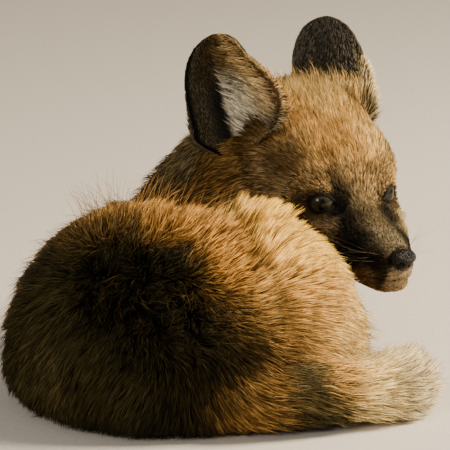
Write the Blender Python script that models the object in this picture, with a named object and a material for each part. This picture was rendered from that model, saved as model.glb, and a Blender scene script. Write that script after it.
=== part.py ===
"""A resting red fox cub, life size, as the plain solids of a museum model.

The cub lies curled on the floor. Its spine runs in a C from the rump, which is nearest to the
viewer, round its left side to the shoulders, and the head looks back over the right shoulder.
Each solid is the outer surface of the coat, out to the tips of the fur.

Places are in centimetres in tables and helper functions, and metres in the finished meshes.
+X is the cub's open side, where it looks, +Y leads from the rump to the shoulders, +Z is up.
"""

import math

import bmesh
import bpy
import numpy as np

CM = 0.01  # metres in a centimetre
GAP = 0.04  # clearance between neighbouring solids, in cm
BEND_ROOM = 0.68  # the most of a bend's radius that a limb may fill on its inner side
FLOOR_DROP = 3.0  # how far the floor cutter reaches below the floor, in cm

# The middle of the model's footprint, which becomes the origin.
FOOTPRINT_MIDDLE = (-0.40, 2.27)

# Where the head is: midway between the eyes, and how it is turned. Angles are in degrees.
HEAD_PLACE = (6.43, 4.5, 9.22)
HEAD_YAW = 35.0  # from looking at the viewer towards +X
HEAD_PITCH = 3.8  # nose down
HEAD_ROLL = -1.5  # its left side up

EYE_SPACING = 3.7  # between the centres of the eyeballs
EYE_RADIUS = 0.80
EYE_PLACE = (-0.20, -0.10)  # forward and up from the head's place
EYE_OUTWARD = 27.0  # how far each eye looks to its own side, in degrees
SOCKET = (0.75, 0.72)  # radius of the hollow before each eye, and its centre's place before the eye's
# Each ear's root, tip and the way its hollow faces, in the head's own frame. The cub has turned
# its right ear a little forward, and its left ear a little back.
EARS = {
    "right": ((-4.9, -3.2, 1.6), (-7.4, -3.9, 7.2), (0.60, -0.80, -0.10)),
    "left": ((-6.0, 2.1, 1.6), (-7.5, 3.3, 7.5), (-0.42, 0.90, -0.10)),
}
EAR_HALF_WIDTH = 2.4
EAR_THICKNESS = 0.40
RING_POINTS = 24  # points round a limb or the trunk


# ---------------------------------------------------------------- curves and rings


def smooth_rows(rows, count):
    """Rows of numbers read at evenly spaced places along a Catmull-Rom curve through them."""
    rows = np.array(rows, float)
    ends = np.vstack([2 * rows[0] - rows[1], rows, 2 * rows[-1] - rows[-2]])
    at = np.linspace(0, len(rows) - 1, count)
    i = np.minimum(at.astype(int), len(rows) - 2)
    t = (at - i)[:, None]
    a, b, c, d = ends[i], ends[i + 1], ends[i + 2], ends[i + 3]
    return 0.5 * (2 * b + (c - a) * t + (2 * a - 5 * b + 4 * c - d) * t**2 + (3 * b - a - 3 * c + d) * t**3)


def unit(vectors):
    return vectors / np.linalg.norm(vectors, axis=-1, keepdims=True)


def section(round_points, upper=1.0, lower=1.0):
    """Sideways and upward shares round a cross-section. A power over 1 makes its upper or lower
    half lean in like a roof, and one under 1 makes it stand out like a box."""
    turn = np.linspace(0, 2 * math.pi, round_points, endpoint=False)
    sideways, upward = np.cos(turn), np.sin(turn)
    power = np.where(upward > 0, upper, lower)
    return np.sign(sideways) * np.abs(sideways) ** power, upward


def limb_rings(stations, rings, round_points=RING_POINTS, upper=1.0, lower=1.0):
    """Rings across a path. A station is x, y, z of the widest line, half width, height above
    that line, and depth below it where that differs."""
    rows = smooth_rows(stations, rings)
    path, half, height, depth = rows[:, :3], rows[:, 3:4], rows[:, 4:5], rows[:, -1:]
    along = unit(np.gradient(path, axis=0))
    side = unit(np.cross(along, (0.0, 0.0, 1.0)))
    overhead = np.cross(side, along)
    sideways, upward = section(round_points, upper, lower)
    across = (half * sideways)[..., None] * side[:, None]
    tall = (np.where(upward > 0, height, depth) * upward)[..., None] * overhead[:, None]
    return path[:, None] + flattened_inside(path, along, across + tall)


def flattened_inside(path, along, reach):
    """Holds back the points on the inner side of a bend, so that a tight bend doesn't pass
    through itself: a reach x towards the bend's centre becomes x / (1 + (x / limit)^4)^(1/4)."""
    step = np.linalg.norm(np.gradient(path, axis=0), axis=1)
    bend = np.gradient(along, axis=0) / step[:, None]
    sharpness = np.linalg.norm(bend, axis=1) + 1e-6
    inward = bend / sharpness[:, None]
    limit = (BEND_ROOM / sharpness)[:, None]
    reached = np.clip(np.einsum("rpk,rk->rp", reach, inward), 0, None)
    held = reached / (1 + (reached / limit) ** 4) ** 0.25
    return reach + (held - reached)[..., None] * inward[:, None]


def closed_mesh(name, rings):
    """A skin over the rings, each end closed by a fan to the middle of its last ring."""
    count, round_points = rings.shape[:2]
    tips = rings[[0, -1]].mean(axis=1)
    points = np.vstack([rings.reshape(-1, 3), tips]) * CM
    faces = []
    for i in range(count - 1):
        for j in range(round_points):
            k = (j + 1) % round_points
            a, b = i * round_points, (i + 1) * round_points
            faces.append((a + j, a + k, b + k, b + j))
    first, last = count * round_points, count * round_points + 1
    for j in range(round_points):
        k = (j + 1) % round_points
        faces.append((k, j, first))
        faces.append(((count - 1) * round_points + j, (count - 1) * round_points + k, last))
    return outward_mesh(name, points, faces)


def leaf_mesh(name, back, front):
    """A closed shell over two grids of points, joined all round their rims."""
    rows, columns = back.shape[:2]
    points = np.vstack([back.reshape(-1, 3), front.reshape(-1, 3)]) * CM
    lift = rows * columns
    faces = []
    for i in range(rows - 1):
        for j in range(columns - 1):
            a, b = i * columns + j, (i + 1) * columns + j
            faces.append((a, a + 1, b + 1, b))
            faces.append((lift + a, lift + b, lift + b + 1, lift + a + 1))
        for j in (0, columns - 1):
            a, b = i * columns + j, (i + 1) * columns + j
            faces.append((a, b, lift + b, lift + a))
    for i in (0, rows - 1):
        for j in range(columns - 1):
            a = i * columns + j
            faces.append((a, a + 1, lift + a + 1, lift + a))
    return outward_mesh(name, points, faces)


def outward_mesh(name, points, faces):
    mesh = bpy.data.meshes.new(name)
    mesh.from_pydata(points.tolist(), [], faces)
    shell = bmesh.new()
    shell.from_mesh(mesh)
    bmesh.ops.recalc_face_normals(shell, faces=shell.faces)
    shell.to_mesh(mesh)
    shell.free()
    mesh.shade_smooth()
    return mesh


def rounded(stations, first, last):
    """The stations with a domed end: two smaller stations past each end, this far out in cm."""
    rows = [tuple(map(float, row)) for row in stations]
    for reach, place in ((first, 0), (last, -1)):
        if not reach:
            continue
        end = np.array(rows[place])
        inner = np.array(rows[1 if place == 0 else -2])
        out = unit(end[:3] - inner[:3])
        for share, size in ((0.62, 0.76), (1.0, 0.22)):
            cap = tuple(end[:3] + out * reach * share) + tuple(end[3:] * size)
            rows.insert(0 if place == 0 else len(rows), cap)
    return rows


# ---------------------------------------------------------------- objects


def material(name, colour, roughness=0.8, metallic=0.0):
    made = bpy.data.materials.new(name)
    made.use_nodes = True
    shader = made.node_tree.nodes["Principled BSDF"]
    shader.inputs["Base Color"].default_value = (*colour, 1.0)
    shader.inputs["Roughness"].default_value = roughness
    shader.inputs["Metallic"].default_value = metallic
    return made


def place_object(name, mesh, parent, finish=None):
    made = bpy.data.objects.new(name, mesh)
    bpy.context.scene.collection.objects.link(made)
    made.parent = parent
    if finish:
        mesh.materials.append(finish)
    return made


def grown_cutter(source):
    """A hidden copy of a solid, larger by the gap, that its neighbours are cut with."""
    cutter = place_object(source.name + "_cutter", source.data, source.parent)
    cutter.matrix_local = source.matrix_local
    growth = cutter.modifiers.new("growth", "DISPLACE")
    growth.strength = GAP * CM
    growth.mid_level = 0.0
    cutter.hide_render = True
    cutter.display_type = "WIRE"
    return cutter


def cut(target, *cutters):
    for cutter in cutters:
        step = target.modifiers.new("cut_by_" + cutter.name, "BOOLEAN")
        step.operation = "DIFFERENCE"
        step.object = cutter


# ---------------------------------------------------------------- body shapes, in cm


def trunk_stations():
    """From the chest round the cub's left side to the rump. The widest line is low, as the
    resting body settles on the floor."""
    middle = [
        (1.9, 9.0, 2.3, 3.6, 4.9, 3.0),
        (-1.3, 8.0, 2.3, 4.4, 5.6, 3.0),
        (-3.8, 5.6, 2.3, 5.2, 6.4, 3.1),
        (-5.0, 2.4, 2.3, 6.0, 7.3, 3.2),
        (-4.8, -1.0, 2.3, 6.35, 8.1, 3.2),
        (-2.9, -3.2, 2.3, 6.2, 8.5, 3.2),
        (-0.2, -3.7, 2.4, 4.9, 8.1, 3.2),
        (1.8, -3.4, 2.4, 3.9, 6.9, 3.0),
    ]
    return rounded(middle, 1.7, 1.6)


def neck_stations():
    """From between the shoulders up to the back of the skull."""
    return [
        (-2.9, 6.3, 4.6, 3.0, 3.0),
        (-1.9, 7.3, 6.0, 3.8, 3.8),
        (-0.5, 8.1, 7.6, 3.9, 3.9),
        (1.1, 8.5, 9.0, 3.9, 3.9),
        (2.6, 8.5, 10.0, 3.5, 3.5),
        (3.4, 8.4, 10.4, 2.0, 2.0),
    ]


def thigh_stations(side):
    """The right thigh stands as the high haunch. The left one lies under the body."""
    if side == "right":
        return [
            (-0.2, -2.9, 9.9, 1.2, 1.0),
            (0.4, -2.8, 8.8, 2.8, 2.5),
            (1.1, -2.7, 7.4, 3.7, 3.5),
            (2.2, -2.5, 5.6, 4.2, 4.0),
            (3.8, -2.2, 3.8, 3.8, 3.6),
            (5.3, -1.6, 2.2, 2.8, 2.7),
            (6.5, -1.1, 1.5, 1.0, 1.0),
        ]
    return [
        (-0.5, -1.0, 3.2, 1.2, 1.2),
        (0.8, -0.4, 3.0, 2.8, 2.8),
        (2.6, 0.8, 2.5, 2.8, 2.7),
        (4.2, 1.8, 1.9, 2.2, 2.1),
        (5.1, 2.3, 1.6, 0.8, 0.8),
    ]


def tail_stations():
    """From under the rump along the floor, round the haunch, to the pale tip."""
    return [
        (-2.2, -6.4, 3.6, 0.9, 0.9),
        (-1.0, -6.7, 2.8, 1.7, 1.7),
        (1.4, -6.8, 2.0, 2.0, 1.95),
        (4.2, -6.2, 1.7, 1.95, 1.8),
        (6.6, -5.1, 1.55, 1.95, 1.7),
        (8.2, -4.1, 1.55, 2.0, 1.7),
        (8.9, -2.9, 1.6, 1.6, 1.55),
        (9.0, -1.9, 1.6, 0.5, 0.6),
    ]


def hind_foot_stations(side):
    """Hock to toes, lying on the floor."""
    if side == "right":
        heel, toes = np.array((3.9, -3.4, 1.05)), np.array((7.2, 2.6, 0.72))
    else:
        heel, toes = np.array((1.2, 1.2, 0.95)), np.array((6.2, 4.6, 0.72))
    run = toes - heel
    shape = ((0.0, 0.5, 0.5), (0.08, 1.0, 0.95), (0.4, 0.95, 0.9), (0.75, 1.1, 0.9), (0.95, 0.95, 0.75), (1.0, 0.5, 0.45))
    return [(*(heel + run * share), wide, high) for share, wide, high in shape]


def foreleg_stations(side):
    """Elbow to toes, folded along the floor in front of the chest."""
    if side == "right":
        elbow, toes = np.array((-0.4, 4.6, 1.9)), np.array((6.6, 6.9, 0.75))
    else:
        elbow, toes = np.array((0.0, 10.9, 1.9)), np.array((6.9, 10.2, 0.75))
    run = toes - elbow
    shape = ((0.0, 0.9, 0.9), (0.1, 1.6, 1.6), (0.4, 1.35, 1.3), (0.7, 1.05, 1.0), (0.87, 1.15, 0.95), (0.96, 1.0, 0.8), (1.0, 0.5, 0.4))
    return [(*(elbow + run * share), wide, high) for share, wide, high in shape]


# ---------------------------------------------------------------- head shapes, in the head's own cm


def head_axes():
    """Columns: the head's forward, left and up directions."""
    yaw, pitch, roll = (math.radians(angle) for angle in (HEAD_YAW, HEAD_PITCH, HEAD_ROLL))
    level = np.array((math.sin(yaw), -math.cos(yaw), 0.0))
    left = np.array((math.cos(yaw), math.sin(yaw), 0.0))
    up = np.array((0.0, 0.0, 1.0))
    forward = level * math.cos(pitch) - up * math.sin(pitch)
    crown = up * math.cos(pitch) + level * math.sin(pitch)
    rolled_left = left * math.cos(roll) + crown * math.sin(roll)
    rolled_crown = crown * math.cos(roll) - left * math.sin(roll)
    return np.stack([forward, rolled_left, rolled_crown], axis=1)


def from_head(points):
    """Points in the head's own frame, forward, left and up of its place, as body points."""
    return np.asarray(points) @ head_axes().T + np.array(HEAD_PLACE)


# Forward place, height of the widest line, half width, height above that line, depth below it.
HEAD_PROFILE = (
    (4.70, -2.60, 0.50, 0.45, 0.60),
    (4.40, -2.55, 0.95, 0.85, 1.15),
    (3.60, -2.40, 1.42, 1.10, 1.60),
    (2.50, -2.10, 1.85, 1.25, 2.05),
    (1.50, -1.70, 2.35, 1.35, 2.45),
    (0.60, -1.20, 2.95, 1.60, 2.85),
    (-0.50, -0.50, 3.70, 2.70, 3.30),
    (-2.00, -0.10, 4.30, 4.00, 3.75),
    (-3.80, 0.10, 4.50, 5.00, 3.90),
    (-5.60, 0.10, 4.30, 5.05, 3.70),
    (-7.10, 0.00, 3.30, 3.80, 3.00),
    (-8.00, -0.10, 1.10, 1.20, 1.10),
)


def head_rings(rings=23, round_points=26):
    """Egg-shaped rings across the head, whose upper and lower halves have their own heights."""
    rows = smooth_rows(HEAD_PROFILE, rings)
    sideways, upward = section(round_points, upper=0.85)
    forward = np.repeat(rows[:, :1], round_points, axis=1)
    left = rows[:, 2:3] * sideways
    height = np.where(upward > 0, rows[:, 3:4], rows[:, 4:5])
    return from_head(np.stack([forward, left, rows[:, 1:2] + height * upward], axis=-1))


def ear_sides(side, rows=12, columns=11):
    """The back and the front of an ear, as two grids of points. A leaf is rolled into a cup: its
    width follows an arch from root to tip, and its edges turn towards the opening at the side."""
    root, tip, opening = (np.array(place) for place in EARS[side])
    stem = tip - root
    opening = unit(opening - stem * (opening @ stem) / (stem @ stem))
    across = unit(np.cross(stem, opening))
    share = np.linspace(0.0, 1.0, rows) ** 0.9
    half = EAR_HALF_WIDTH * (1 - share**2.6) ** 0.7 * (0.92 + 0.26 * share) + 0.12
    bend = 1.15 * (1 - share) + 0.35
    lanes = np.linspace(-1, 1, columns)
    turn = lanes[None] * bend[:, None]
    spread = np.sin(turn) * (half / np.sin(bend))[:, None]
    hollow = (1 - np.cos(turn)) * (half / np.sin(bend))[:, None]
    middle = root + stem * share[:, None]
    back = middle[:, None] + across * spread[..., None] + opening * hollow[..., None]
    wall = EAR_THICKNESS * np.cos(lanes * 1.2) + 0.08
    inward = -across * np.sin(turn)[..., None] + opening * np.cos(turn)[..., None]
    front = back + inward * wall[None, :, None]
    return from_head(back), from_head(front)


def ball_rings(centre, radii, rings=9, round_points=14):
    """An ellipsoid's rings from one pole towards the other, in the head's own frame."""
    polar = np.linspace(0.06, 0.94, rings) * math.pi
    turn = np.linspace(0, 2 * math.pi, round_points, endpoint=False)
    points = np.stack(
        [
            np.repeat(np.cos(polar)[:, None], round_points, axis=1),
            np.sin(polar)[:, None] * np.cos(turn),
            np.sin(polar)[:, None] * np.sin(turn),
        ],
        axis=-1,
    )
    return from_head(points * np.array(radii) + np.array(centre))


# ---------------------------------------------------------------- the model


def build():
    for old in list(bpy.data.objects):
        bpy.data.objects.remove(old)
    ground = bpy.data.objects.new("ground", None)
    bpy.context.scene.collection.objects.link(ground)
    ground.location = (-FOOTPRINT_MIDDLE[0] * CM, -FOOTPRINT_MIDDLE[1] * CM, 0.0)

    tawny = material("tawny_coat", (0.45, 0.22, 0.08))
    dark = material("dark_coat", (0.05, 0.035, 0.03))
    cream = material("cream_coat", (0.70, 0.55, 0.36))
    eye_glass = material("eye_glass", (0.12, 0.10, 0.05), roughness=0.1)
    nose_skin = material("nose_skin", (0.02, 0.017, 0.015), roughness=0.4)

    def solid(name, rings, finish):
        return place_object(name, closed_mesh(name, rings), ground, finish)

    trunk = solid("trunk", limb_rings(trunk_stations(), 24, upper=1.32, lower=0.45), tawny)
    neck = solid("neck", limb_rings(neck_stations(), 10), tawny)
    head = solid("head", head_rings(), tawny)
    thigh_right = solid("thigh_right", limb_rings(thigh_stations("right"), 14), tawny)
    thigh_left = solid("thigh_left", limb_rings(thigh_stations("left"), 9, 18), tawny)
    tail_rows = smooth_rows(tail_stations(), 25)
    tail_base = solid("tail_base", limb_rings(tail_rows[:15], 15, 18), dark)
    tail_tip = solid("tail_tip", limb_rings(tail_rows[13:], 12, 18), cream)
    feet = {}
    for side in ("right", "left"):
        feet["hind_foot_" + side] = solid("hind_foot_" + side, limb_rings(hind_foot_stations(side), 12, 14), dark)
        feet["foreleg_" + side] = solid("foreleg_" + side, limb_rings(foreleg_stations(side), 13, 14), dark)
    ears = []
    for side in ("right", "left"):
        mesh = leaf_mesh("ear_" + side, *ear_sides(side))
        ears.append(place_object("ear_" + side, mesh, ground, dark))
    eyes, sockets = [], []
    for side, sign in (("right", -1), ("left", 1)):
        centre = np.array((EYE_PLACE[0], sign * EYE_SPACING / 2, EYE_PLACE[1]))
        eyes.append(solid("eye_" + side, ball_rings(centre, (EYE_RADIUS,) * 3), eye_glass))
        turn = math.radians(EYE_OUTWARD)
        before = centre + SOCKET[1] * np.array((math.cos(turn), sign * math.sin(turn), 0.0))
        sockets.append(solid("socket_" + side, ball_rings(before, (SOCKET[0],) * 3), eye_glass))
        sockets[-1].hide_render = True
        sockets[-1].display_type = "WIRE"
    nose = solid("nose_pad", ball_rings((4.58, 0.0, -2.1), (0.62, 0.78, 0.58)), nose_skin)

    floor_mesh = bpy.data.meshes.new("floor_cutter")
    block = bmesh.new()
    bmesh.ops.create_cube(block, size=1.0)
    bmesh.ops.scale(block, vec=(0.6, 0.6, FLOOR_DROP * CM), verts=block.verts)
    bmesh.ops.translate(block, vec=(0.0, 0.0, -FLOOR_DROP * CM / 2), verts=block.verts)
    block.to_mesh(floor_mesh)
    block.free()
    floor = place_object("floor_cutter", floor_mesh, None)
    floor.hide_render = True
    floor.display_type = "WIRE"

    grown = {o.name: grown_cutter(o) for o in (trunk, neck, head, thigh_right, thigh_left, tail_base, *eyes, nose)}
    for foot in feet.values():
        grown[foot.name] = grown_cutter(foot)
    cut(head, *sockets, grown["eye_right"], grown["eye_left"], grown["nose_pad"], grown["trunk"], grown["thigh_right"])
    cut(neck, grown["trunk"], grown["head"])
    for ear in ears:
        cut(ear, grown["head"], grown["neck"])
    cut(trunk, floor)
    cut(thigh_right, floor, grown["trunk"])
    cut(thigh_left, floor, grown["trunk"], grown["thigh_right"])
    cut(tail_base, floor, grown["trunk"], grown["thigh_right"])
    cut(tail_tip, floor, grown["tail_base"], grown["trunk"], grown["thigh_right"])
    haunches = (grown["trunk"], grown["thigh_right"], grown["thigh_left"])
    for name, foot in feet.items():
        cut(foot, floor, *haunches)


build()
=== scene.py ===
# %% [markdown]
# # A resting red fox cub, life size
# The CAD solids give the outline of the coat. This script dresses them: one skin under the whole
# coat, eyes, lids, nose, ears and claws, and then the fur as thousands of small solid tufts.

import math

import bmesh
import bpy
import numpy as np
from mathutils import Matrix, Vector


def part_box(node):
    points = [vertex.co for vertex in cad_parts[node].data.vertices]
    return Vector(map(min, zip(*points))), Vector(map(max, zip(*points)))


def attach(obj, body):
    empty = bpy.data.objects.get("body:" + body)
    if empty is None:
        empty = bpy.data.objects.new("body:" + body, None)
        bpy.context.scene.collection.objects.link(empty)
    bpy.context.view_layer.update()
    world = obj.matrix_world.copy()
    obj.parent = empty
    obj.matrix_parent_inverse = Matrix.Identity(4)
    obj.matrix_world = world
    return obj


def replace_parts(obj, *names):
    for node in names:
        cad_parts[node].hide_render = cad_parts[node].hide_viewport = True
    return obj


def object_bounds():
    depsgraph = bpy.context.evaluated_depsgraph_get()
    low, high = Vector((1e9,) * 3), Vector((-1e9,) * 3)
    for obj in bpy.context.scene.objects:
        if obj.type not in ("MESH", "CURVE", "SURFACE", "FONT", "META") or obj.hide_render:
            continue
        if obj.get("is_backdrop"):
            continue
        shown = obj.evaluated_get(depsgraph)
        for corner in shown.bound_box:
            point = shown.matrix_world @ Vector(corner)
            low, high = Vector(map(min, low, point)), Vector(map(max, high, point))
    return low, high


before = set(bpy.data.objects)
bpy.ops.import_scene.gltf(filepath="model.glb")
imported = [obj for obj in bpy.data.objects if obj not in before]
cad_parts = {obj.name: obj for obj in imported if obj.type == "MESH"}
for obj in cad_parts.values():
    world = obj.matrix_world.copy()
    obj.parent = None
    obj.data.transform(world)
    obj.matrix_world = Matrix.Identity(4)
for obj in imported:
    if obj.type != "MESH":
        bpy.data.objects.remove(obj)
cad_low, cad_high = (np.array(corner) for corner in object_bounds())
print("CAD box in mm", (cad_low * 1000).round(1), (cad_high * 1000).round(1))

# %% [markdown]
# ## Measures
# Tables are in millimetres. Body places are drawn on a model of DRAWN_SIZE and stretched to the
# CAD box, so that they stay right if the solids change a little.

# %% Body places
MM = 0.001
TINY = 1e-9  # keeps a division by a length of zero from failing
NEAR = 1e-6  # metres, within which two points are one
DRAWN_SIZE = np.array((216.4, 225.9, 171.1))
THINNING = 1.0
body_middle = (cad_low + cad_high) / 2 / MM * (1, 1, 0)
body_scale = (cad_high - cad_low) / MM / DRAWN_SIZE


def on_body(places):
    """Body places in mm, from the middle of the footprint, as places on this model."""
    return np.asarray(places, float) * body_scale + body_middle


def unit(vectors):
    """Each vector divided by its length."""
    return vectors / (np.linalg.norm(vectors, axis=-1, keepdims=True) + TINY)


def ease(value, low, high):
    """0 below low, 1 above high, and 3t^2 - 2t^3 between."""
    t = np.clip((value - low) / (high - low), 0, 1)
    return t * t * (3 - 2 * t)


print("body places are stretched by", body_scale.round(4))

# %% [markdown]
# ## The head's own directions
# The eyes and the nose fix how the head is turned: left runs from eye to eye, and forward and up
# follow from how far the nose lies ahead of the eyes and below them. Right and left are the cub's.

# %% Head directions
SIDES = {"right": -1, "left": 1}  # the sign of each side's sideways numbers
NOSE_AHEAD, NOSE_BELOW = 47.8, 20.0  # mm from the middle of the eyes to the nose
HEAD_AHEAD, HEAD_ABOVE = 2.0, 1.0  # mm from the middle of the eyes to the zero of the head's tables


def centre_of(name):
    """The middle of a solid's box, in mm."""
    low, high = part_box(name)
    return (np.array(low) + np.array(high)) / 2 / MM


eye_centres = {side: centre_of("eye_" + side) for side in SIDES}
eye_middle = (eye_centres["right"] + eye_centres["left"]) / 2
head_left = unit(eye_centres["left"] - eye_centres["right"])
to_nose = centre_of("nose_pad") - eye_middle
to_nose -= (to_nose @ head_left) * head_left
above_nose = np.cross(to_nose, head_left)
head_forward = unit(NOSE_AHEAD * to_nose + NOSE_BELOW * above_nose)
head_up = unit(NOSE_AHEAD * above_nose - NOSE_BELOW * to_nose)
head_turn = np.stack([head_forward, head_left, head_up])
head_place = eye_middle + HEAD_AHEAD * head_forward + HEAD_ABOVE * head_up


def from_head(points):
    """Places forward, left and up of the head's zero, as body places."""
    return np.asarray(points, float) @ head_turn + head_place


def to_head(points):
    """Body places as places forward, left and up of the head's zero."""
    return (points - head_place) @ head_turn.T


print("head looks along", head_forward.round(3))

# %% [markdown]
# ## Noise
# Fur is never even. One seeded noise serves for all of it: random numbers on the corners of a
# lattice, blended smoothly inside each cell.


# %% Noise
def noise(points, size, seed=1):
    """Random numbers from -1 to 1 on the corners of cubes of this size, blended with 3t^2 - 2t^3
    along each side of the cube that a point is in."""
    place = np.asarray(points) / size + 1000.0
    cell = np.floor(place).astype(np.int64)
    share = place - cell
    share = share * share * (3 - 2 * share)
    total = np.zeros(len(place))
    for corner in np.ndindex(2, 2, 2):
        at = cell + corner
        code = (at[:, 0] * 73856093) ^ (at[:, 1] * 19349663) ^ (at[:, 2] * 83492791) ^ (seed * 97561)
        code = ((code ^ (code >> 13)) * 1274126177) & 0x7FFFFFFF
        total += ((code >> 7) % 4096 / 2047.5 - 1) * np.prod(np.where(corner, share, 1 - share), axis=1)
    return total


print("noise at the head's zero:", noise(head_place[None], 9.0).round(3))

# %% [markdown]
# ## Colours
# A hex code says how bright a screen shows a colour, and light adds up on another scale. One
# function turns every code in this script to that scale.


# %% Hex colours
def linear(code):
    """A hex colour as the linear numbers that shaders work in: ((s + 0.055) / 1.055)^2.4, or
    s / 12.92 for the darkest."""
    shown = np.array([int(code[i : i + 2], 16) / 255 for i in (1, 3, 5)])
    return np.where(shown > 0.04045, ((shown + 0.055) / 1.055) ** 2.4, shown / 12.92)


def rgba(code):
    """The same with an opacity of 1, as colour sockets take it."""
    return (*linear(code), 1.0)


print("middle grey is", linear("#808080").round(3))

# %% [markdown]
# ## Making a piece
# Every new piece is arrays of points and faces, put into a mesh in one go.


# %% Piece maker
def mesh_from(name, points, faces):
    """A mesh from points in mm and an array of faces with the same number of corners."""
    mesh = bpy.data.meshes.new(name)
    corners = faces.shape[1]
    mesh.vertices.add(len(points))
    mesh.vertices.foreach_set("co", (points * MM).astype(np.float32).ravel())
    mesh.loops.add(faces.size)
    mesh.loops.foreach_set("vertex_index", faces.astype(np.int32).ravel())
    mesh.polygons.add(len(faces))
    mesh.polygons.foreach_set("loop_start", np.arange(0, faces.size, corners, dtype=np.int32))
    mesh.polygons.foreach_set("loop_total", np.full(len(faces), corners, dtype=np.int32))
    mesh.update(calc_edges=True)
    mesh.polygons.foreach_set("use_smooth", np.ones(len(faces), dtype=bool))
    return mesh


def add_tint(mesh, colours):
    """Stores a linear colour on each point, which the materials read by the name tint."""
    layer = mesh.attributes.new("tint", "FLOAT_COLOR", "POINT")
    opaque = np.ones((len(colours), 4), np.float32)
    opaque[:, :3] = colours
    layer.data.foreach_set("color", opaque.ravel())


def add_map(mesh, name, places, faces):
    """A UV map with one place for each point."""
    layer = mesh.uv_layers.new(name=name)
    layer.data.foreach_set("uv", places[faces.ravel()].astype(np.float32).ravel())


def add_piece(name, points, faces, material, tint=None, maps=()):
    """A piece that rides on the body, with its finish, its colours and its maps."""
    mesh = mesh_from(name, points, faces)
    if tint is not None:
        add_tint(mesh, tint)
    for map_name, places in maps:
        add_map(mesh, map_name, places, faces)
    mesh.materials.append(material)
    piece = bpy.data.objects.new(name, mesh)
    bpy.context.scene.collection.objects.link(piece)
    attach(piece, "root")
    print(name, "has", len(points), "points and", len(faces), "faces")
    return piece


def grid_faces(rows, columns, closed=False):
    """Squares between the points of a grid. A closed grid joins its last column to its first."""
    across = columns if closed else columns - 1
    row, column = np.meshgrid(np.arange(rows - 1), np.arange(across), indexing="ij")
    here, beside = row * columns + column, row * columns + (column + 1) % columns
    return np.stack([here, beside, beside + columns, here + columns], axis=-1).reshape(-1, 4)


def merged(piece):
    """Merges points that lie on each other, such as a ball's poles, and turns the faces outwards."""
    shell = bmesh.new()
    shell.from_mesh(piece.data)
    bmesh.ops.remove_doubles(shell, verts=shell.verts, dist=NEAR)
    bmesh.ops.recalc_face_normals(shell, faces=shell.faces)
    shell.to_mesh(piece.data)
    shell.free()
    return piece


# %% [markdown]
# ## Finishes
# A finish is a tree of nodes. One small function adds a node with its settings and links, so that
# each finish reads as a few calls.


# %% Node helper
def node(tree, kind, inputs=None, stops=(), **settings):
    """Adds a shader node. An input is a number, a colour or another node's output, and the stops of
    a colour ramp are (place, hex colour)."""
    made = tree.nodes.new(kind)
    for name, value in settings.items():
        setattr(made, name, value)
    for socket, value in (inputs or {}).items():
        if isinstance(value, bpy.types.NodeSocket):
            tree.links.new(value, made.inputs[socket])
        else:
            made.inputs[socket].default_value = value
    for number, (place, code) in enumerate(stops):
        elements = made.color_ramp.elements
        element = elements[number] if number < len(elements) else elements.new(place)
        element.position = place
        element.color = rgba(code)
    return made


def new_material(name, constants):
    """An empty finish and its shader, with the constant numbers on the shader's own sockets."""
    made = bpy.data.materials.new(name)
    made.use_nodes = True
    shader = made.node_tree.nodes["Principled BSDF"]
    for socket, value in constants.items():
        shader.inputs[socket].default_value = value
    print("finish", name, constants)
    return made, made.node_tree, shader


# %% [markdown]
# ## Fur and skin
# Hair is keratin: light goes into it and comes out soft, with a weak and broad shine. All tufts
# share one kind of finish, whose colour is stored on the mesh, because a coat changes colour from
# root to tip and from place to place. A noise over it keeps neighbouring hairs from being alike.
# Real hairs are 0.03 mm thick, too fine to show, so the noise has the grain of a small lock.


# %% Fox fur and bare skin
def fur_material(name, grain, contrast, bump, constants):
    """Fur or skin: the tint on the mesh, made lighter and darker by a noise of this grain in mm."""
    made, tree, shader = new_material(name, constants)
    place = node(tree, "ShaderNodeTexCoord").outputs["Object"]
    tint = node(tree, "ShaderNodeAttribute", attribute_name="tint").outputs["Color"]
    texture = {"Vector": place, "Scale": 1 / (grain * MM), "Detail": 3.0, "Roughness": 0.6}
    grainy = node(tree, "ShaderNodeTexNoise", texture).outputs["Fac"]
    between = {"From Min": 0.3, "From Max": 0.7, "To Min": 1 - contrast, "To Max": 1 + contrast}
    shade = node(tree, "ShaderNodeMapRange", {"Value": grainy, **between}).outputs["Result"]
    mixed = node(tree, "ShaderNodeVectorMath", {0: tint, "Scale": shade}, operation="SCALE")
    tree.links.new(mixed.outputs["Vector"], shader.inputs["Base Color"])
    relief = {"Height": grainy, "Strength": bump, "Distance": grain * MM * 0.5}
    tree.links.new(node(tree, "ShaderNodeBump", relief).outputs["Normal"], shader.inputs["Normal"])
    return made


KERATIN = {"Roughness": 0.7, "Specular IOR Level": 0.12}  # a dull, broad shine
fox_fur = fur_material("fox_fur", 1.6, 0.16, 0.15, KERATIN)  # woolly locks of the body
short_fur = fur_material("short_fox_fur", 0.8, 0.14, 0.15, KERATIN)  # close hair of face, ears and feet
# skin under the coat, with fine underfur on it: it swallows light and hardly shines
DULL_SKIN = {"Roughness": 0.9, "Specular IOR Level": 0.1}
bare_skin = fur_material("fox_skin_with_underfur", 0.9, 0.35, 0.6, DULL_SKIN)

# %% [markdown]
# ## Patterned finishes
# Horn, bare skin, whiskers and the floor have a pattern of their own. A texture, measured by how
# many of its cells lie on a millimetre, picks the colour from a ramp and can also stand out.


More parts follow.
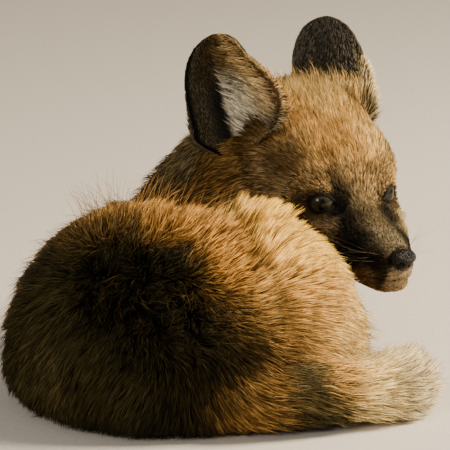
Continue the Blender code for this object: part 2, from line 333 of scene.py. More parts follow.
# %% Patterned finishes
def patterned(name, constants, per_mm, stops, detail=None, relief=None, inverted=False):
    """A finish whose colour is read off a ramp, by the distance in a pattern of round cells or by a
    noise of this detail. The relief is its (strength, depth in metres)."""
    made, tree, shader = new_material(name, constants)
    place = node(tree, "ShaderNodeTexCoord").outputs["Object"]
    texture = {"Vector": place, "Scale": per_mm / MM}
    if detail is None:
        value = node(tree, "ShaderNodeTexVoronoi", texture).outputs["Distance"]
    else:
        value = node(tree, "ShaderNodeTexNoise", {**texture, "Detail": detail}).outputs["Fac"]
    shade = node(tree, "ShaderNodeValToRGB", {"Fac": value}, stops).outputs["Color"]
    tree.links.new(shade, shader.inputs["Base Color"])
    if relief:
        bump = {"Height": value, "Strength": relief[0], "Distance": relief[1]}
        raised = node(tree, "ShaderNodeBump", bump, invert=inverted)
        tree.links.new(raised.outputs["Normal"], shader.inputs["Normal"])
    return made


# %% [markdown]
# ## How the coat lies
# Each row says what the hair is like round one place: which way it lies, how far the row
# reaches, the hair's length, how steeply it stands, how deep the coat is and how thick a tuft is.
# A point's hair is the mean of the rows, weighted by a bell curve of the distance to each.

# %% Lie of the coat on the head
# Under each group's name: place x y z, lie x y z, reach, length, lift in degrees, depth, width and
# crowding, in the head's own mm. Rows off the middle line stand for both sides.
HEAD_LIE = {
    "face": [
        (44, 0, -13, -1, 0, 0.2, 6, 2.2, 12, 1, 0.26, 2.2),
        (34, 0, -12, -1, 0, 0.3, 8, 3, 15, 1.4, 0.32, 2),
        (20, 0, -6, -1, 0, 0.4, 8, 4, 18, 1.9, 0.34, 1.9),
        (8, 0, 3, -1, 0, 0.6, 8, 5, 26, 2.5, 0.38, 1.8),
        (44, 8, -27, -0.9, 0.5, -0.2, 5, 2.2, 12, 1, 0.26, 2.2),
        (30, 15, -20, -1, 0.3, -0.1, 9, 3.6, 15, 1.6, 0.28, 2),
        (40, 6, -38, -0.9, 0.2, -0.5, 7, 3.6, 20, 1.8, 0.28, 1.8),
        (25, 12, -40, -1, 0.2, -0.3, 9, 5, 22, 2.6, 0.3, 1.6),
        (12, 22, -14, -0.9, 0.35, -0.35, 7, 6, 34, 2.6, 0.32, 1.9),
        (21, 18, -16, -0.9, 0.4, -0.2, 5.5, 5.5, 34, 2.2, 0.3, 1.9),
        (4, 28, -14, -0.9, 0.4, -0.3, 8, 9, 42, 3.4, 0.34, 1.7),
        (1, 11, 9, -0.8, 0.3, 0.6, 6, 5, 30, 2.6, 0.36, 1.8),
        (-2, 23, 10, -0.8, 0.5, 0.45, 6, 6.5, 34, 3.2, 0.38, 1.8),
        (-10, 32, 10, -0.85, 0.5, 0.2, 8, 8.5, 36, 4.2, 0.34, 1.6),
        (-8, 0, 24, -0.75, 0, 0.65, 11, 8, 30, 4, 0.38, 1.6),
    ],
    "crown": [
        (-14, 18, 30, -0.75, 0.25, 0.6, 10, 9, 30, 5, 0.36, 1.5),
        (-30, 0, 47, -0.85, 0, 0.5, 13, 11, 34, 6.5, 0.4, 1.3),
        (-46, 0, 52, -0.8, 0, 0.6, 12, 14, 40, 8.5, 0.42, 1.2),
        (-34, 28, 36, -0.7, 0.1, 0.7, 10, 12, 38, 7, 0.4, 1.3),
        (-22, 40, 8, -0.95, 0.3, -0.1, 10, 12, 32, 6.5, 0.42, 1.2),
        (-10, 40, -14, -0.85, 0.4, -0.4, 10, 11, 30, 6, 0.42, 1.2),
        (-28, 44, -14, -0.85, 0.3, -0.5, 12, 15, 34, 8.5, 0.5, 1),
        (-40, 40, 14, -0.9, 0.2, -0.2, 10, 14, 34, 8, 0.46, 1.1),
    ],
    "neck": [
        (-10, 18, -36, -0.9, 0.1, -0.5, 12, 12, 34, 6.5, 0.46, 1.1),
        (-40, 16, -38, -0.9, 0.1, -0.5, 15, 16, 35, 8.5, 0.55, 0.9),
        (-66, 0, 30, -0.8, 0, -0.5, 14, 15, 36, 8.5, 0.5, 1),
    ],
}
print(sum(map(len, HEAD_LIE.values())), "rows for the head")

# %% [markdown]
# ## The coat of the body
# Long woolly hair runs back from the neck over the curled back and parts on the rump, where it
# turns away to all sides from one line. It is shortest on the feet and longest at the tail's end.

# %% Lie of the coat on the body
# The same, in body mm, and a last number: how much the hair turns away from the parting.
BODY_LIE = {
    "neck": [
        (-14, 50, 108, -0.6, -0.3, -0.7, 16, 15, 35, 8.5, 0.52, 1, 0),
        (6, 28, 98, -0.7, -0.4, -0.6, 14, 14, 36, 8, 0.5, 1, 0),
        (20, 80, 100, -0.3, 0.2, -0.9, 18, 15, 35, 8.5, 0.52, 0.9, 0),
    ],
    "far_side": [
        (-9, 57, 80, -0.72, -0.69, 0, 20, 18, 36, 9, 0.6, 0.8, 0),
        (-70, 50, 40, -0.5, -0.8, -0.3, 28, 17, 34, 9, 0.62, 0.7, 0),
        (-20, 95, 40, -0.8, -0.3, -0.5, 26, 17, 34, 9, 0.62, 0.7, 0),
        (30, 80, 45, -0.1, 0.3, -1, 24, 18, 34, 9, 0.62, 0.7, 0),
        (15, 20, 40, 0.2, -0.4, -0.9, 24, 13, 30, 6, 0.6, 0.7, 0),
        (20, -10, 40, 0.6, 0.6, -0.4, 20, 12, 26, 5.5, 0.52, 0.8, 0),
    ],
    "back": [
        (-34, 33, 90, -0.5, -0.85, 0, 22, 19, 40, 10, 0.62, 0.8, 0.2),
        (-46, 1, 98, -0.2, -1, 0, 22, 17, 42, 12, 0.64, 0.8, 0.6),
        (-44, -33, 104, -0.2, -0.8, 0.2, 20, 17, 46, 12.5, 0.64, 0.9, 0.9),
        (-22, -55, 106, 0, -0.5, 0.6, 18, 17, 50, 12.5, 0.64, 0.9, 0.95),
        (8, -50, 104, 0.2, 0, 1, 14, 18, 54, 12, 0.62, 0.9, 0.7),
    ],
    "haunch": [
        (28, -48, 98, 0.3, 0.1, 1, 12, 19, 56, 11, 0.6, 0.9, 0.6),
        (36, -73, 88, 0.9, 0.1, 0.2, 16, 19, 42, 10.5, 0.62, 0.9, 0.8),
        (41, -86, 61, 1, 0, -0.15, 16, 19, 32, 9, 0.6, 0.9, 0.7),
        (62, -65, 45, 0.9, 0.3, -0.4, 16, 17, 28, 8, 0.58, 0.9, 0.4),
        (62, -35, 30, 0.6, 0.6, -0.4, 16, 12, 26, 5.5, 0.52, 0.9, 0),
    ],
    "rump": [
        (-11, -99, 72, 0, 0, 0, 26, 18, 54, 12, 0.62, 0.9, 1),
        (-52, -94, 68, 0, 0, 0, 22, 18, 52, 12, 0.62, 0.9, 1),
        (-47, -111, 22, 0, -0.3, -1, 20, 18, 45, 10, 0.64, 0.8, 0.8),
        (-10, -112, 28, 0.1, -0.3, -1, 18, 18, 42, 10, 0.64, 0.8, 0.8),
    ],
    "flank": [
        (-95, -50, 56, 0, 0, -0.1, 26, 19, 44, 11, 0.64, 0.8, 1),
        (-87, -81, 24, -0.3, -0.3, -0.7, 22, 17, 40, 9, 0.64, 0.8, 0.8),
        (-90, 10, 50, -0.3, -0.9, -0.2, 28, 18, 38, 10, 0.64, 0.7, 0.3),
    ],
    "tail": [
        (5, -108, 18, 0.95, -0.1, -0.2, 14, 18, 30, 8, 0.62, 0.9, 0),
        (40, -104, 18, 1, 0.2, -0.1, 15, 18, 30, 8, 0.6, 0.9, 0),
        (75, -84, 20, 0.8, 0.6, 0, 15, 20, 36, 9, 0.6, 0.9, 0),
        (93, -62, 18, 0.1, 1, 0, 14, 20, 38, 8, 0.6, 0.9, 0),
    ],
    "feet": [
        (60, -20, 8, 0.5, 0.85, -0.1, 9, 4, 20, 1.8, 0.32, 1.3, 0),
        (74, -2, 7, 0.5, 0.85, -0.2, 7, 2.2, 16, 1.4, 0.3, 1.4, 0),
        (36, 6, 8, 0.8, 0.6, -0.1, 11, 4, 20, 1.8, 0.32, 1.3, 0),
        (60, 22, 8, 0.8, 0.6, -0.2, 8, 2.2, 16, 1.4, 0.3, 1.4, 0),
        (30, 34, 14, 0.95, 0.3, -0.1, 13, 6, 22, 2.6, 0.36, 1.2, 0),
        (64, 45, 8, 0.95, 0.3, -0.2, 9, 2.2, 16, 1.4, 0.3, 1.4, 0),
        (38, 84, 14, 1, -0.1, -0.1, 15, 6, 22, 2.6, 0.36, 1.2, 0),
        (68, 80, 8, 1, -0.1, -0.2, 9, 2.2, 16, 1.4, 0.3, 1.4, 0),
    ],
}
PARTING = on_body([(-58, -72, 82), (-12, -103, 62)])  # the line that the rump's hair turns away from
PARTING_REACH = 44.0  # mm to where the hair lies fully away from it
PARTING_SAG = np.array((0.3, -0.1, -0.35))  # how the hair hangs at the line
RUFFLE = 0.8  # how much of it is ruffled there
RUFFLED_LIFT, RUFFLED_SHORTER = 14, 0.2  # ruffled hair stands this much steeper, in degrees, and is shorter
LENGTH, LIFT, DEPTH, WIDTH, CROWDING, RUFFLED = 1, 2, 3, 4, 5, 6  # columns of the hair's numbers
BLOCK = 20000  # points worked on at a time


def rows_of(table):
    """A table's rows, each with the name that it stands under at its end."""
    return [(*row, name) for name, rows in table.items() for row in rows]


def both_sides(rows, sideways):
    """The rows, and a mirrored copy of each that is off the middle line: its numbers in the
    sideways columns change their sign."""
    mirrored = [tuple(-v if k in sideways else v for k, v in enumerate(row)) for row in rows if row[1]]
    return rows + mirrored


head_rows, body_rows = both_sides(rows_of(HEAD_LIE), (1, 4)), rows_of(BODY_LIE)
lie_places = np.vstack([from_head([r[:3] for r in head_rows]), on_body([r[:3] for r in body_rows])])
lie_ways = np.vstack([np.array([r[3:6] for r in head_rows]) @ head_turn, [r[3:6] for r in body_rows]])
lie_numbers = np.array([(*r[6:12], 0.0) for r in head_rows] + [r[6:13] for r in body_rows])
lie_groups = np.array([r[-1] for r in head_rows + body_rows])
print(len(lie_places), "rows say how the coat lies")

# %% [markdown]
# ## The coat at a place
# Hair changes slowly over a body, so each row of the tables fades into its neighbours.


# %% Coat at a place
def bell_weights(points, places, reaches, sharpness=0.5):
    """Weights exp(-sharpness (distance / reach)^2) of each row at each point, scaled to add up to 1."""
    apart = ((points[:, None] - places[None]) ** 2).sum(-1) / reaches**2 * sharpness
    weights = np.exp(apart.min(axis=1, keepdims=True) - apart)
    return weights / weights.sum(axis=1, keepdims=True)


def from_parting(points):
    """The way from the parting's nearest place to each point."""
    line = PARTING[1] - PARTING[0]
    share = np.clip((points - PARTING[0]) @ line / (line @ line), 0, 1)
    return points - PARTING[0] - share[:, None] * line


def coat_at(points, normals):
    """The hair's numbers at each point, the way it lies along the skin, and its group's name. At
    the parting the hair stands steeper, and noise ruffles it."""
    numbers, ways, groups = [], [], []
    for block in np.array_split(np.arange(len(points)), len(points) // BLOCK + 1):
        weights = bell_weights(points[block], lie_places, lie_numbers[:, 0])
        value = weights @ lie_numbers
        turned = value[:, 6:7].copy()
        away = from_parting(points[block])
        outside = ease(np.linalg.norm(away, axis=1, keepdims=True), 3, PARTING_REACH)
        ruffle = np.stack([noise(points[block], 8, seed) for seed in (21, 22, 23)], axis=1)
        away = unit(away) * outside + (PARTING_SAG + RUFFLE * ruffle) * (1 - outside)
        value[:, RUFFLED] = (turned * (1 - outside))[:, 0]
        value[:, LIFT] += RUFFLED_LIFT * value[:, RUFFLED]
        value[:, LENGTH] *= 1 - RUFFLED_SHORTER * value[:, RUFFLED]
        numbers.append(value)
        ways.append(weights @ lie_ways * (1 - turned) + away * turned)
        groups.append(lie_groups[weights.argmax(axis=1)])
    ways = np.vstack(ways)
    ways -= (ways * normals).sum(-1, keepdims=True) * normals
    return np.vstack(numbers), unit(ways), np.concatenate(groups)


spot = eye_middle[None] + 12.0 * head_up
print("hair above the eyes is", coat_at(spot, head_up[None])[0][0, LENGTH].round(1), "mm long")

# %% [markdown]
# ## Markings
# Skin and fur share one table of colours. A colour of the coat has a tone at the root and one at
# the tip, and a share of tufts with dark tips. The table says which colour is where, and it is
# read like the table of the lie.

# %% Colours of the coat
COAT_COLOURS = {  # root, tip, share of dark tips
    "black": ("#070605", "#100D09", 0.0),
    "sooty": ("#16110B", "#443822", 0.3),
    # saddle, olive and olive_light: the dark wool of the back and sides, partly painted shade
    "saddle": ("#0E0C05", "#322C12", 0.5),
    "saddle_edge": ("#3A2912", "#B88E4C", 0.50),
    "olive": ("#1B180A", "#464022", 0.35),
    "olive_light": ("#2C2614", "#5C5230", 0.30),
    "umber": ("#2E2216", "#7E6242", 0.30),
    "chops": ("#2E281C", "#82744F", 0.30),
    "rust": ("#6E4A20", "#C8964A", 0.34),
    "tawny": ("#8E6630", "#F2C272", 0.22),
    "crown": ("#C08A44", "#FFE094", 0.12),
    "honey": ("#A07438", "#F2C868", 0.12),
    "gold": ("#8E6630", "#E0B468", 0.16),
    "pale_gold": ("#BE9450", "#FFE29C", 0.08),
    "cream": ("#CEAE74", "#FFEAAA", 0.05),
    "crest": ("#8E6C2E", "#F2C652", 0.14),
    "lip_cream": ("#8E7858", "#D8C29A", 0.05),
    "ash": ("#A4967A", "#E8D8B0", 0.12),
    "bridge": ("#322A1E", "#C2B08A", 0.42),
    "bridge_high": ("#2A2216", "#94825C", 0.45),
    "brow": ("#32240F", "#D0AC70", 0.45),
    "between": ("#4A3418", "#E6C082", 0.45),
    "cheek": ("#6A5230", "#E2C084", 0.38),
    # a dark streak, partly painted shade
    "streak_and_shade": ("#120D07", "#40331E", 0.50),
    "temple": ("#2E2210", "#86683A", 0.40),
    "under_eye": ("#5A4630", "#C8AC84", 0.30),
    "ruff": ("#5C5236", "#A4966C", 0.30),
    # painted shade of the shoulder behind the head
    "shaded_nape": ("#1A160C", "#4A4228", 0.40),
    "stocking": ("#2C2018", "#5E4A34", 0.2),
    "paw": ("#241C14", "#78664E", 0.1),
}
print(len(COAT_COLOURS), "colours of the coat")

# %% [markdown]
# ## Where each colour is
# A red fox cub has black from the inner corner of the eye down the side of the muzzle, cream
# under the eye and on the lips, and a tawny crown. Its back is still woolly and dark. Some of the
# dark on the back, the left flank, the shoulder and the right of the face is painted shade, and
# some of the pale on the left of the face is painted light.

# %% Markings of the head
# Under each colour: place x y z in the head's own mm, and reach. These stand for both sides.
HEAD_MARKS = {
    "bridge": [(44, 0, -14, 6), (32, 0, -11, 7.5)],
    "bridge_high": [(20, 0, -6, 8), (10, 0, 2, 8)],
    "between": [(1, 0, 13, 7)],
    "black": [
        (6, 14, -3, 4.5), (12, 14.5, -6, 5), (17, 14, -11, 5.5), (24, 15, -16, 7), (31, 14, -22, 7.5),
        (38, 10, -22, 5),
    ],
    "sooty": [(43, 10, -26, 4), (41, 8, -33, 3.5)],
    "chops": [(30, 14, -32, 5.5)],
    "lip_cream": [(48, 2, -30, 4), (45, 3, -37, 4.5)],
    "under_eye": [(28, 8, -42, 7), (11, 23, -13, 6)],
    "cheek": [(6, 30, -14, 7), (-12, 36, 6, 7), (-24, 42, 8, 10)],
    "brow": [(-2, 23, 11, 6)],
    "temple": [(-12, 32, 18, 7), (-32, 27, 38, 8), (-66, 0, 30, 16)],
    "tawny": [(-9, 0, 26, 11), (-16, 18, 30, 11)],
    "crown": [(-34, 0, 48, 16)],
    "gold": [(-12, 40, -16, 10)],
    "pale_gold": [(-30, 44, -18, 14)],
    "cream": [(-10, 16, -42, 16), (-45, 10, -42, 18)],
}
# The same, for one side only: the cub's right is minus. Most are painted light and shade: the
# right of the face gets wider black and a dark streak as painted shade, and the left of the face
# gets paler gold, cream and cheek as painted light.
SIDE_LIGHT_AND_SHADE_MARKS = {
    # painted shade: more black on the right of the face
    "black": [
        (9, -11, -2, 5), (12.5, -11, -6, 5), (10.5, -9, -3.5, 4.5), (16, -9.5, -9, 5),
        (21, -8.5, -8.5, 4.5), (27, -8.5, -12.5, 5),
    ],
    "sooty": [(34, -8, -17, 4.5), (13, 11.5, -4, 3.5)],
    # a dark streak above the right eye's inner corner, partly painted shade
    "streak_and_shade": [(3, -7.5, 10.5, 4.5), (6.5, -8, 3, 4.5)],
    "between": [(5, 6, 5, 5)],
    "temple": [(-5, -12, 19, 3.5), (1, 11, 11, 4)],
    "cheek": [(-18, -22, 26, 7), (4.5, 9, 5, 6), (8, 8, 0, 5)],
    # pale_gold, gold and cream here are painted light on the left of the face
    "pale_gold": [(-12, 19, 27, 9), (-14, 30, 24, 8)],
    "under_eye": [(31, -13, -33, 6)],
    "gold": [(-4, 30, 2, 6)],
    "cream": [(10, 26, -10, 5), (16, 21, -13, 5), (22, 18.5, -15, 5)],
}
print(len(rows_of(HEAD_MARKS)), "marks on both sides and", len(rows_of(SIDE_LIGHT_AND_SHADE_MARKS)), "on one")

# %% Markings of the body
BODY_MARKS = {
    "ruff": [(-19, 40, 104, 12)],
    "saddle_edge": [
        (6, 28, 98, 14), (-46, 1, 98, 18), (-58, -43, 98, 14), (8, -104, 60, 10), (11, -108, 16, 13),
        (-90, 15, 50, 28),
    ],
    "pale_gold": [(22, 80, 95, 18), (62, -70, 50, 12)],
    # painted shade on the shoulder behind the head
    "shaded_nape": [(-27, 34, 92, 19), (-36, 20, 100, 13)],
    "umber": [(-9, 57, 80, 20), (-100, -46, 55, 9)],
    "rust": [
        (-48, -46, 103, 8), (-23, -59, 107, 12), (-2, -100, 80, 10), (10, -88, 92, 12), (-65, 60, 40, 28),
    ],
    "gold": [(4, -50, 105, 10), (24, -90, 74, 9), (44, -84, 62, 13), (66, -30, 30, 14), (20, 15, 35, 24)],
    "crest": [(28, -46, 98, 12)],
    # the dark wool of the back, and partly painted shade
    "saddle": [
        (-32, -104, 60, 17), (-52, -94, 72, 14), (-4, -104, 50, 12), (-63, -62, 89, 12),
        (-28, -98, 77, 12), (-18, -113, 14, 14),
    ],
    # the dark wool of the left flank and rump, partly painted shade
    "olive": [(-95, -50, 56, 22), (-60, -100, 40, 16), (-47, -111, 20, 14)],
    "olive_light": [(-87, -81, 24, 20), (38, -106, 20, 12)],
    "honey": [(38, -76, 86, 13)],
    "cream": [(67, -60, 42, 10), (75, -90, 22, 11), (35, 82, 45, 22)],
    "tawny": [(55, -91, 34, 9), (-10, 98, 35, 24)],
    "ash": [(93, -82, 20, 10), (98, -58, 16, 12)],
    "stocking": [(60, -20, 8, 12), (40, 6, 8, 14), (34, 34, 14, 12), (40, 84, 14, 14)],
    "paw": [(66, 45, 8, 10), (68, 80, 8, 10)],
}
print(len(rows_of(BODY_MARKS)), "marks on the body")

# %% [markdown]
# ## Toes
# A fox stands on four toes of each foot. Under the fur they show as four soft ridges, and the
# gaps between them get painted shade. One function says where the gaps are, for the skin and for
# its painted shade.

# %% Toes
FEET = {  # heel and toe of each foot, as shares of its box
    "hind_foot_right": ((0.2, 0.1), (0.86, 0.94)),
    "hind_foot_left": ((0.1, 0.2), (0.94, 0.86)),
    "foreleg_right": ((0.1, 0.2), (0.97, 0.62)),
    "foreleg_left": ((0.1, 0.55), (0.98, 0.45)),
}
TOES = 4
TOE_PITCH = 3.5  # mm from toe to toe
TOE_GROOVE = 2.4  # mm deep
GAP_REACH = 0.9  # mm, how soon a gap fades sideways
FOOT_HALF, TOE_AHEAD, TOE_BEHIND, FOOT_TOP = 8.5, 6, 15, 20  # mm of the space that the toes take up


def foot_lines():
    """For each foot, the place of its far end on the floor and the way that it points."""
    for name, (heel, toe) in FEET.items():
        low, high = (np.array(corner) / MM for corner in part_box(name))
        heel, toe = low[:2] + (high - low)[:2] * heel, low[:2] + (high - low)[:2] * toe
        yield toe, unit(toe - heel)


def toe_gaps(points):
    """1 between two toes and 0 on a toe: a bell of the sideways distance to each gap, over the
    last centimetre of each foot."""
    total = np.zeros(len(points))
    for toe, ahead in foot_lines():
        behind = -(points[:, :2] - toe) @ ahead
        aside = (points[:, :2] - toe) @ np.array((-ahead[1], ahead[0]))
        here = (np.abs(aside) < FOOT_HALF) & (behind > -TOE_AHEAD) & (behind < TOE_BEHIND)
        here &= points[:, 2] < FOOT_TOP
        gaps = sum(np.exp(-(((aside - step * TOE_PITCH) / GAP_REACH) ** 2)) for step in (-1, 0, 1))
        total += np.where(here, gaps * ease(-behind, -12, -3), 0.0)
    return np.clip(total, 0, 1)


print("toes end at", [toe.round(1).tolist() for toe, _ in foot_lines()])

# %% [markdown]
# ## The openings of the eyes
# A fox's eyes look a little to their own sides. The opening is an almond whose inner corner lies
# lower, towards the nose. Skin, lids, fur and colours all ask one function how far they are from it.

# %% Eye openings
EYE_RADIUS = 8.0
EYE_OUT = math.radians(27)  # how far each eye looks to its own side
OPENING = (6.6, 4.6)  # half width and half height of the eye opening, in mm
INNER_HALF = {"right": 6.6, "left": 4.7}  # its half width towards the nose
OPENING_TILT = math.radians(4)  # the inner corner is lower
eye_looks, eye_sides, eye_ups = {}, {}, {}
for side, sign in SIDES.items():
    look = np.array((math.cos(EYE_OUT), sign * math.sin(EYE_OUT), -0.02)) @ head_turn
    flat_side = unit(np.cross(look, head_up) * sign)  # towards the nose
    flat_up = np.cross(flat_side, look)
    flat_up = unit(flat_up) * np.sign(flat_up @ head_up)
    eye_looks[side] = unit(look)
    eye_sides[side] = flat_side * math.cos(OPENING_TILT) - flat_up * math.sin(OPENING_TILT)
    eye_ups[side] = flat_up * math.cos(OPENING_TILT) + flat_side * math.sin(OPENING_TILT)
    print("the", side, "eye looks along", eye_looks[side].round(3))


def around_eye(points, side):
    """Distance from the eyeball's centre, share of the opening's almond, and the way to each point.
    The share is hypot(across / half width, up / half height): 1 on the almond's edge."""
    away = points - eye_centres[side]
    far = np.linalg.norm(away, axis=1)
    ray = away / (far[:, None] + TINY) * EYE_RADIUS
    across, up, ahead = ray @ eye_sides[side], ray @ eye_ups[side], ray @ eye_looks[side]
    share = np.hypot(across / np.where(across > 0, INNER_HALF[side], OPENING[0]), up / OPENING[1])
    return far, np.where(ahead > 0, share, 9.0), ray / EYE_RADIUS


# %% [markdown]
# ## The colour at a place
# Marks blend like the numbers of the coat, over a shorter distance. Places are shifted by a wavy
# noise first, so that no mark has a smooth edge. The rims of the eyes are darker, with painted
# shade widening the right one's, and the gaps between the toes get painted shade.

# %% Colours at a place
WAVE_SIZE, WAVE = 9, 2.5  # mm from wave to wave, and how far they shift a place
MARK_SHARPNESS = 1.3  # marks fade sooner than the lie of the hair does
# the right ring reaches farther than the left as painted shade on that side of the face
EYE_RING = {"right": 1.6, "left": 1.3}  # where the dark ring ends, in shares of the eye opening
# how much darker the eye rims' own black makes them, and the painted shade in the toe gaps
RING_DARKER, TOE_GAP_SHADE = 0.88, 0.75
head_marks = both_sides(rows_of(HEAD_MARKS), (1,)) + rows_of(SIDE_LIGHT_AND_SHADE_MARKS)
body_marks = rows_of(BODY_MARKS)
mark_places = np.vstack([from_head([r[:3] for r in head_marks]), on_body([r[:3] for r in body_marks])])
mark_reaches = np.array([r[3] for r in head_marks + body_marks], float)
mark_colours = [COAT_COLOURS[r[4]] for r in head_marks + body_marks]
mark_values = np.array([(*linear(root), *linear(tip), dark) for root, tip, dark in mark_colours])


def marks_with_painted_light(points):
    """Root colour, tip colour and share of dark tips at each point, with the painted light and shade
    of the tables, the wider dark ring of the right eye and painted shade in the toe gaps.
    """
    waves = np.stack([noise(points, WAVE_SIZE, seed) for seed in (11, 12, 13)], axis=1)
    blocks = np.array_split(points + waves * WAVE, len(points) // BLOCK + 1)
    weights = (bell_weights(block, mark_places, mark_reaches, MARK_SHARPNESS) for block in blocks)
    value = np.vstack([weight @ mark_values for weight in weights])
    for side in SIDES:
        far, share, _ = around_eye(points, side)
        rim = np.where(far < 15, 1 - ease(share, 1.05, EYE_RING[side]), 0.0)[:, None]
        value[:, :6] *= 1 - RING_DARKER * rim
    value[:, :6] *= 1 - TOE_GAP_SHADE * toe_gaps(points)[:, None]
    return value[:, :3], value[:, 3:6], value[:, 6]


print(len(mark_places), "marks colour the coat")

# %% [markdown]
# ## The skin
# A real cub has one skin, and the solids are eleven. A union of solids would keep every crease
# where they meet, so copies of them are grown a little, until the gaps between them close, and
# remeshed as one closed surface of even squares.

# %% One surface from the flesh solids
FLESH = ["trunk", "neck", "head", "thigh_right", "thigh_left", "tail_base", "tail_tip", *FEET]
GROWTH = 0.35  # mm that each solid grows
GRAIN = 1.8  # mm between the skin's points
SOCKET_RADIUS, SOCKET_BACK = EYE_RADIUS + 1.6, 0.6  # the ball that fills a socket, in mm


def flesh_draft():
    """One mesh of all flesh solids, each pushed outwards a little, and a ball behind each eye
    that fills its socket."""
    shell = bmesh.new()
    for name in FLESH:
        part = bmesh.new()
        part.from_mesh(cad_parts[name].data)
        bmesh.ops.remove_doubles(part, verts=part.verts, dist=NEAR)
        part.normal_update()
        for point in part.verts:
            point.co += point.normal * GROWTH * MM
        scratch = bpy.data.meshes.new("scratch")
        part.to_mesh(scratch)
        part.free()
        shell.from_mesh(scratch)
        bpy.data.meshes.remove(scratch)
    for side in SIDES:
        ball = bmesh.ops.create_icosphere(shell, subdivisions=3, radius=SOCKET_RADIUS * MM)
        back = (eye_centres[side] - SOCKET_BACK * head_forward) * MM
        bmesh.ops.translate(shell, verts=ball["verts"], vec=back)
    mesh = bpy.data.meshes.new("draft")
    shell.to_mesh(mesh)
    shell.free()
    return mesh


draft = bpy.data.objects.new("draft", flesh_draft())
bpy.context.scene.collection.objects.link(draft)
closing = draft.modifiers.new("closing", "REMESH")
closing.mode = "VOXEL"
closing.voxel_size = GRAIN * MM
remeshed = draft.evaluated_get(bpy.context.evaluated_depsgraph_get()).to_mesh()
skin_points = np.empty(len(remeshed.vertices) * 3, np.float32)
remeshed.vertices.foreach_get("co", skin_points)
skin_points = skin_points.reshape(-1, 3).astype(float) / MM
skin_faces = np.array([face.vertices for face in remeshed.polygons if len(face.vertices) == 4])
print("skin draft:", len(skin_points), "points and", len(skin_faces), "squares")
print("faces that aren't squares:", len(remeshed.polygons) - len(skin_faces))
bpy.data.objects.remove(draft)

# %% [markdown]
# ## Smoothing
# The remeshed surface has steps, which a cub's skin hasn't. It is smoothed, and then drawn in by
# the depth of the coat, so that the tips of the hair come out where the solids end.

# %% Smooth the skin
edges = np.sort(np.vstack([skin_faces[:, [i, (i + 1) % 4]] for i in range(4)]), axis=1)
edges = np.unique(edges, axis=0)
links = np.bincount(edges.ravel(), minlength=len(skin_points))[:, None]


def summed(places, values, count):
    """The sum of all rows of values that belong to the same place, for each place."""
    return np.stack([np.bincount(places, column, count) for column in values.T], axis=1)


def neighbour_mean(values):
    """The mean of each point's neighbours along the edges."""
    one, other = edges.T
    total = summed(one, values[other], len(values)) + summed(other, values[one], len(values))
    return total / links


def smoothed(values, rounds, back=0.5):
    """Moves each point half-way to its neighbours' mean, and then some of the way out again, so
    that bumps go and the volume stays."""
    for _ in range(rounds):
        values = values + 0.5 * (neighbour_mean(values) - values)
        values = values - back * (neighbour_mean(values) - values)
    return values


def diagonals_crossed(points, faces):
    """The cross product of each square's diagonals: its normal, twice as long as its area."""
    a, b, c, d = (points[faces[:, i]] for i in range(4))
    return np.cross(c - a, d - b)


def point_normals(points, faces):
    """The squares' normals, weighted by their areas and summed at their corners."""
    across = diagonals_crossed(points, faces)
    return unit(sum(summed(faces[:, i], across, len(points)) for i in range(4)))


outer_points = smoothed(skin_points, 14)
outer_normals = point_normals(outer_points, skin_faces)
coat_depths = coat_at(outer_points, outer_normals)[0][:, DEPTH : DEPTH + 1]
inner_points = smoothed(outer_points - outer_normals * (coat_depths + GROWTH), 6, 0.3)
print("the coat is", coat_depths.min().round(1), "to", coat_depths.max().round(1), "mm deep")

# %% [markdown]
# ## The mouth
# A fox's mouth is a line from under the nose to a corner below the eye. The skin sinks in along
# it, less hair grows on it, and the lips follow it.

# %% Mouth line
# forward, sideways and up, in the head's own mm, from under the nose to the corner
MOUTH = np.array(
    [(46.5, 0.5, -31), (45, 4, -31.5), (41, 8, -32), (34, 11.5, -33), (26, 14, -34), (18, 16.5, -34.5)]
)
MOUTH_POINTS = 40


def rounded(line, rounds):
    """Rounds a line's corners: each inner point becomes a quarter of each neighbour and half itself."""
    for _ in range(rounds):
        line[1:-1] = (line[:-2] + 2 * line[1:-1] + line[2:]) / 4
    return line


def along(path, count):
    """Evenly spaced points on the straight lines between a path's points, rounded."""
    step = np.r_[0, np.cumsum(np.linalg.norm(np.diff(path, axis=0), axis=1))]
    at = np.linspace(0, step[-1], count)
    return rounded(np.stack([np.interp(at, step, path[:, k]) for k in range(3)], axis=1), 3)


mouth_line = along(MOUTH, MOUTH_POINTS)


def folded(places):
    """Places of the head, with those of the right half carried over to the left."""
    return places * (1, 0, 1) + np.abs(places) * (0, 1, 0)


def mouth_depth(here):
    """1 on the mouth's line, fading to 0 between 0.3 and 2.2 mm from it."""
    near = (here[:, 0] > 10) & (here[:, 2] < -20)
    depth = np.zeros(len(here))
    apart = np.linalg.norm(here[near][:, None] - mouth_line[None], axis=-1).min(axis=1)
    depth[near] = 1 - ease(apart, 0.3, 2.2)
    return depth


print("half of the mouth is", np.linalg.norm(np.diff(mouth_line, axis=0), axis=1).sum().round(1), "mm long")

# %% [markdown]
# ## The head's skin
# The skin must close round each eyeball, leave the opening free, and show the brow and the hollow
# before the eye. All of these are pushes along the normal or along the line from the eye's
# centre, faded by the distance.

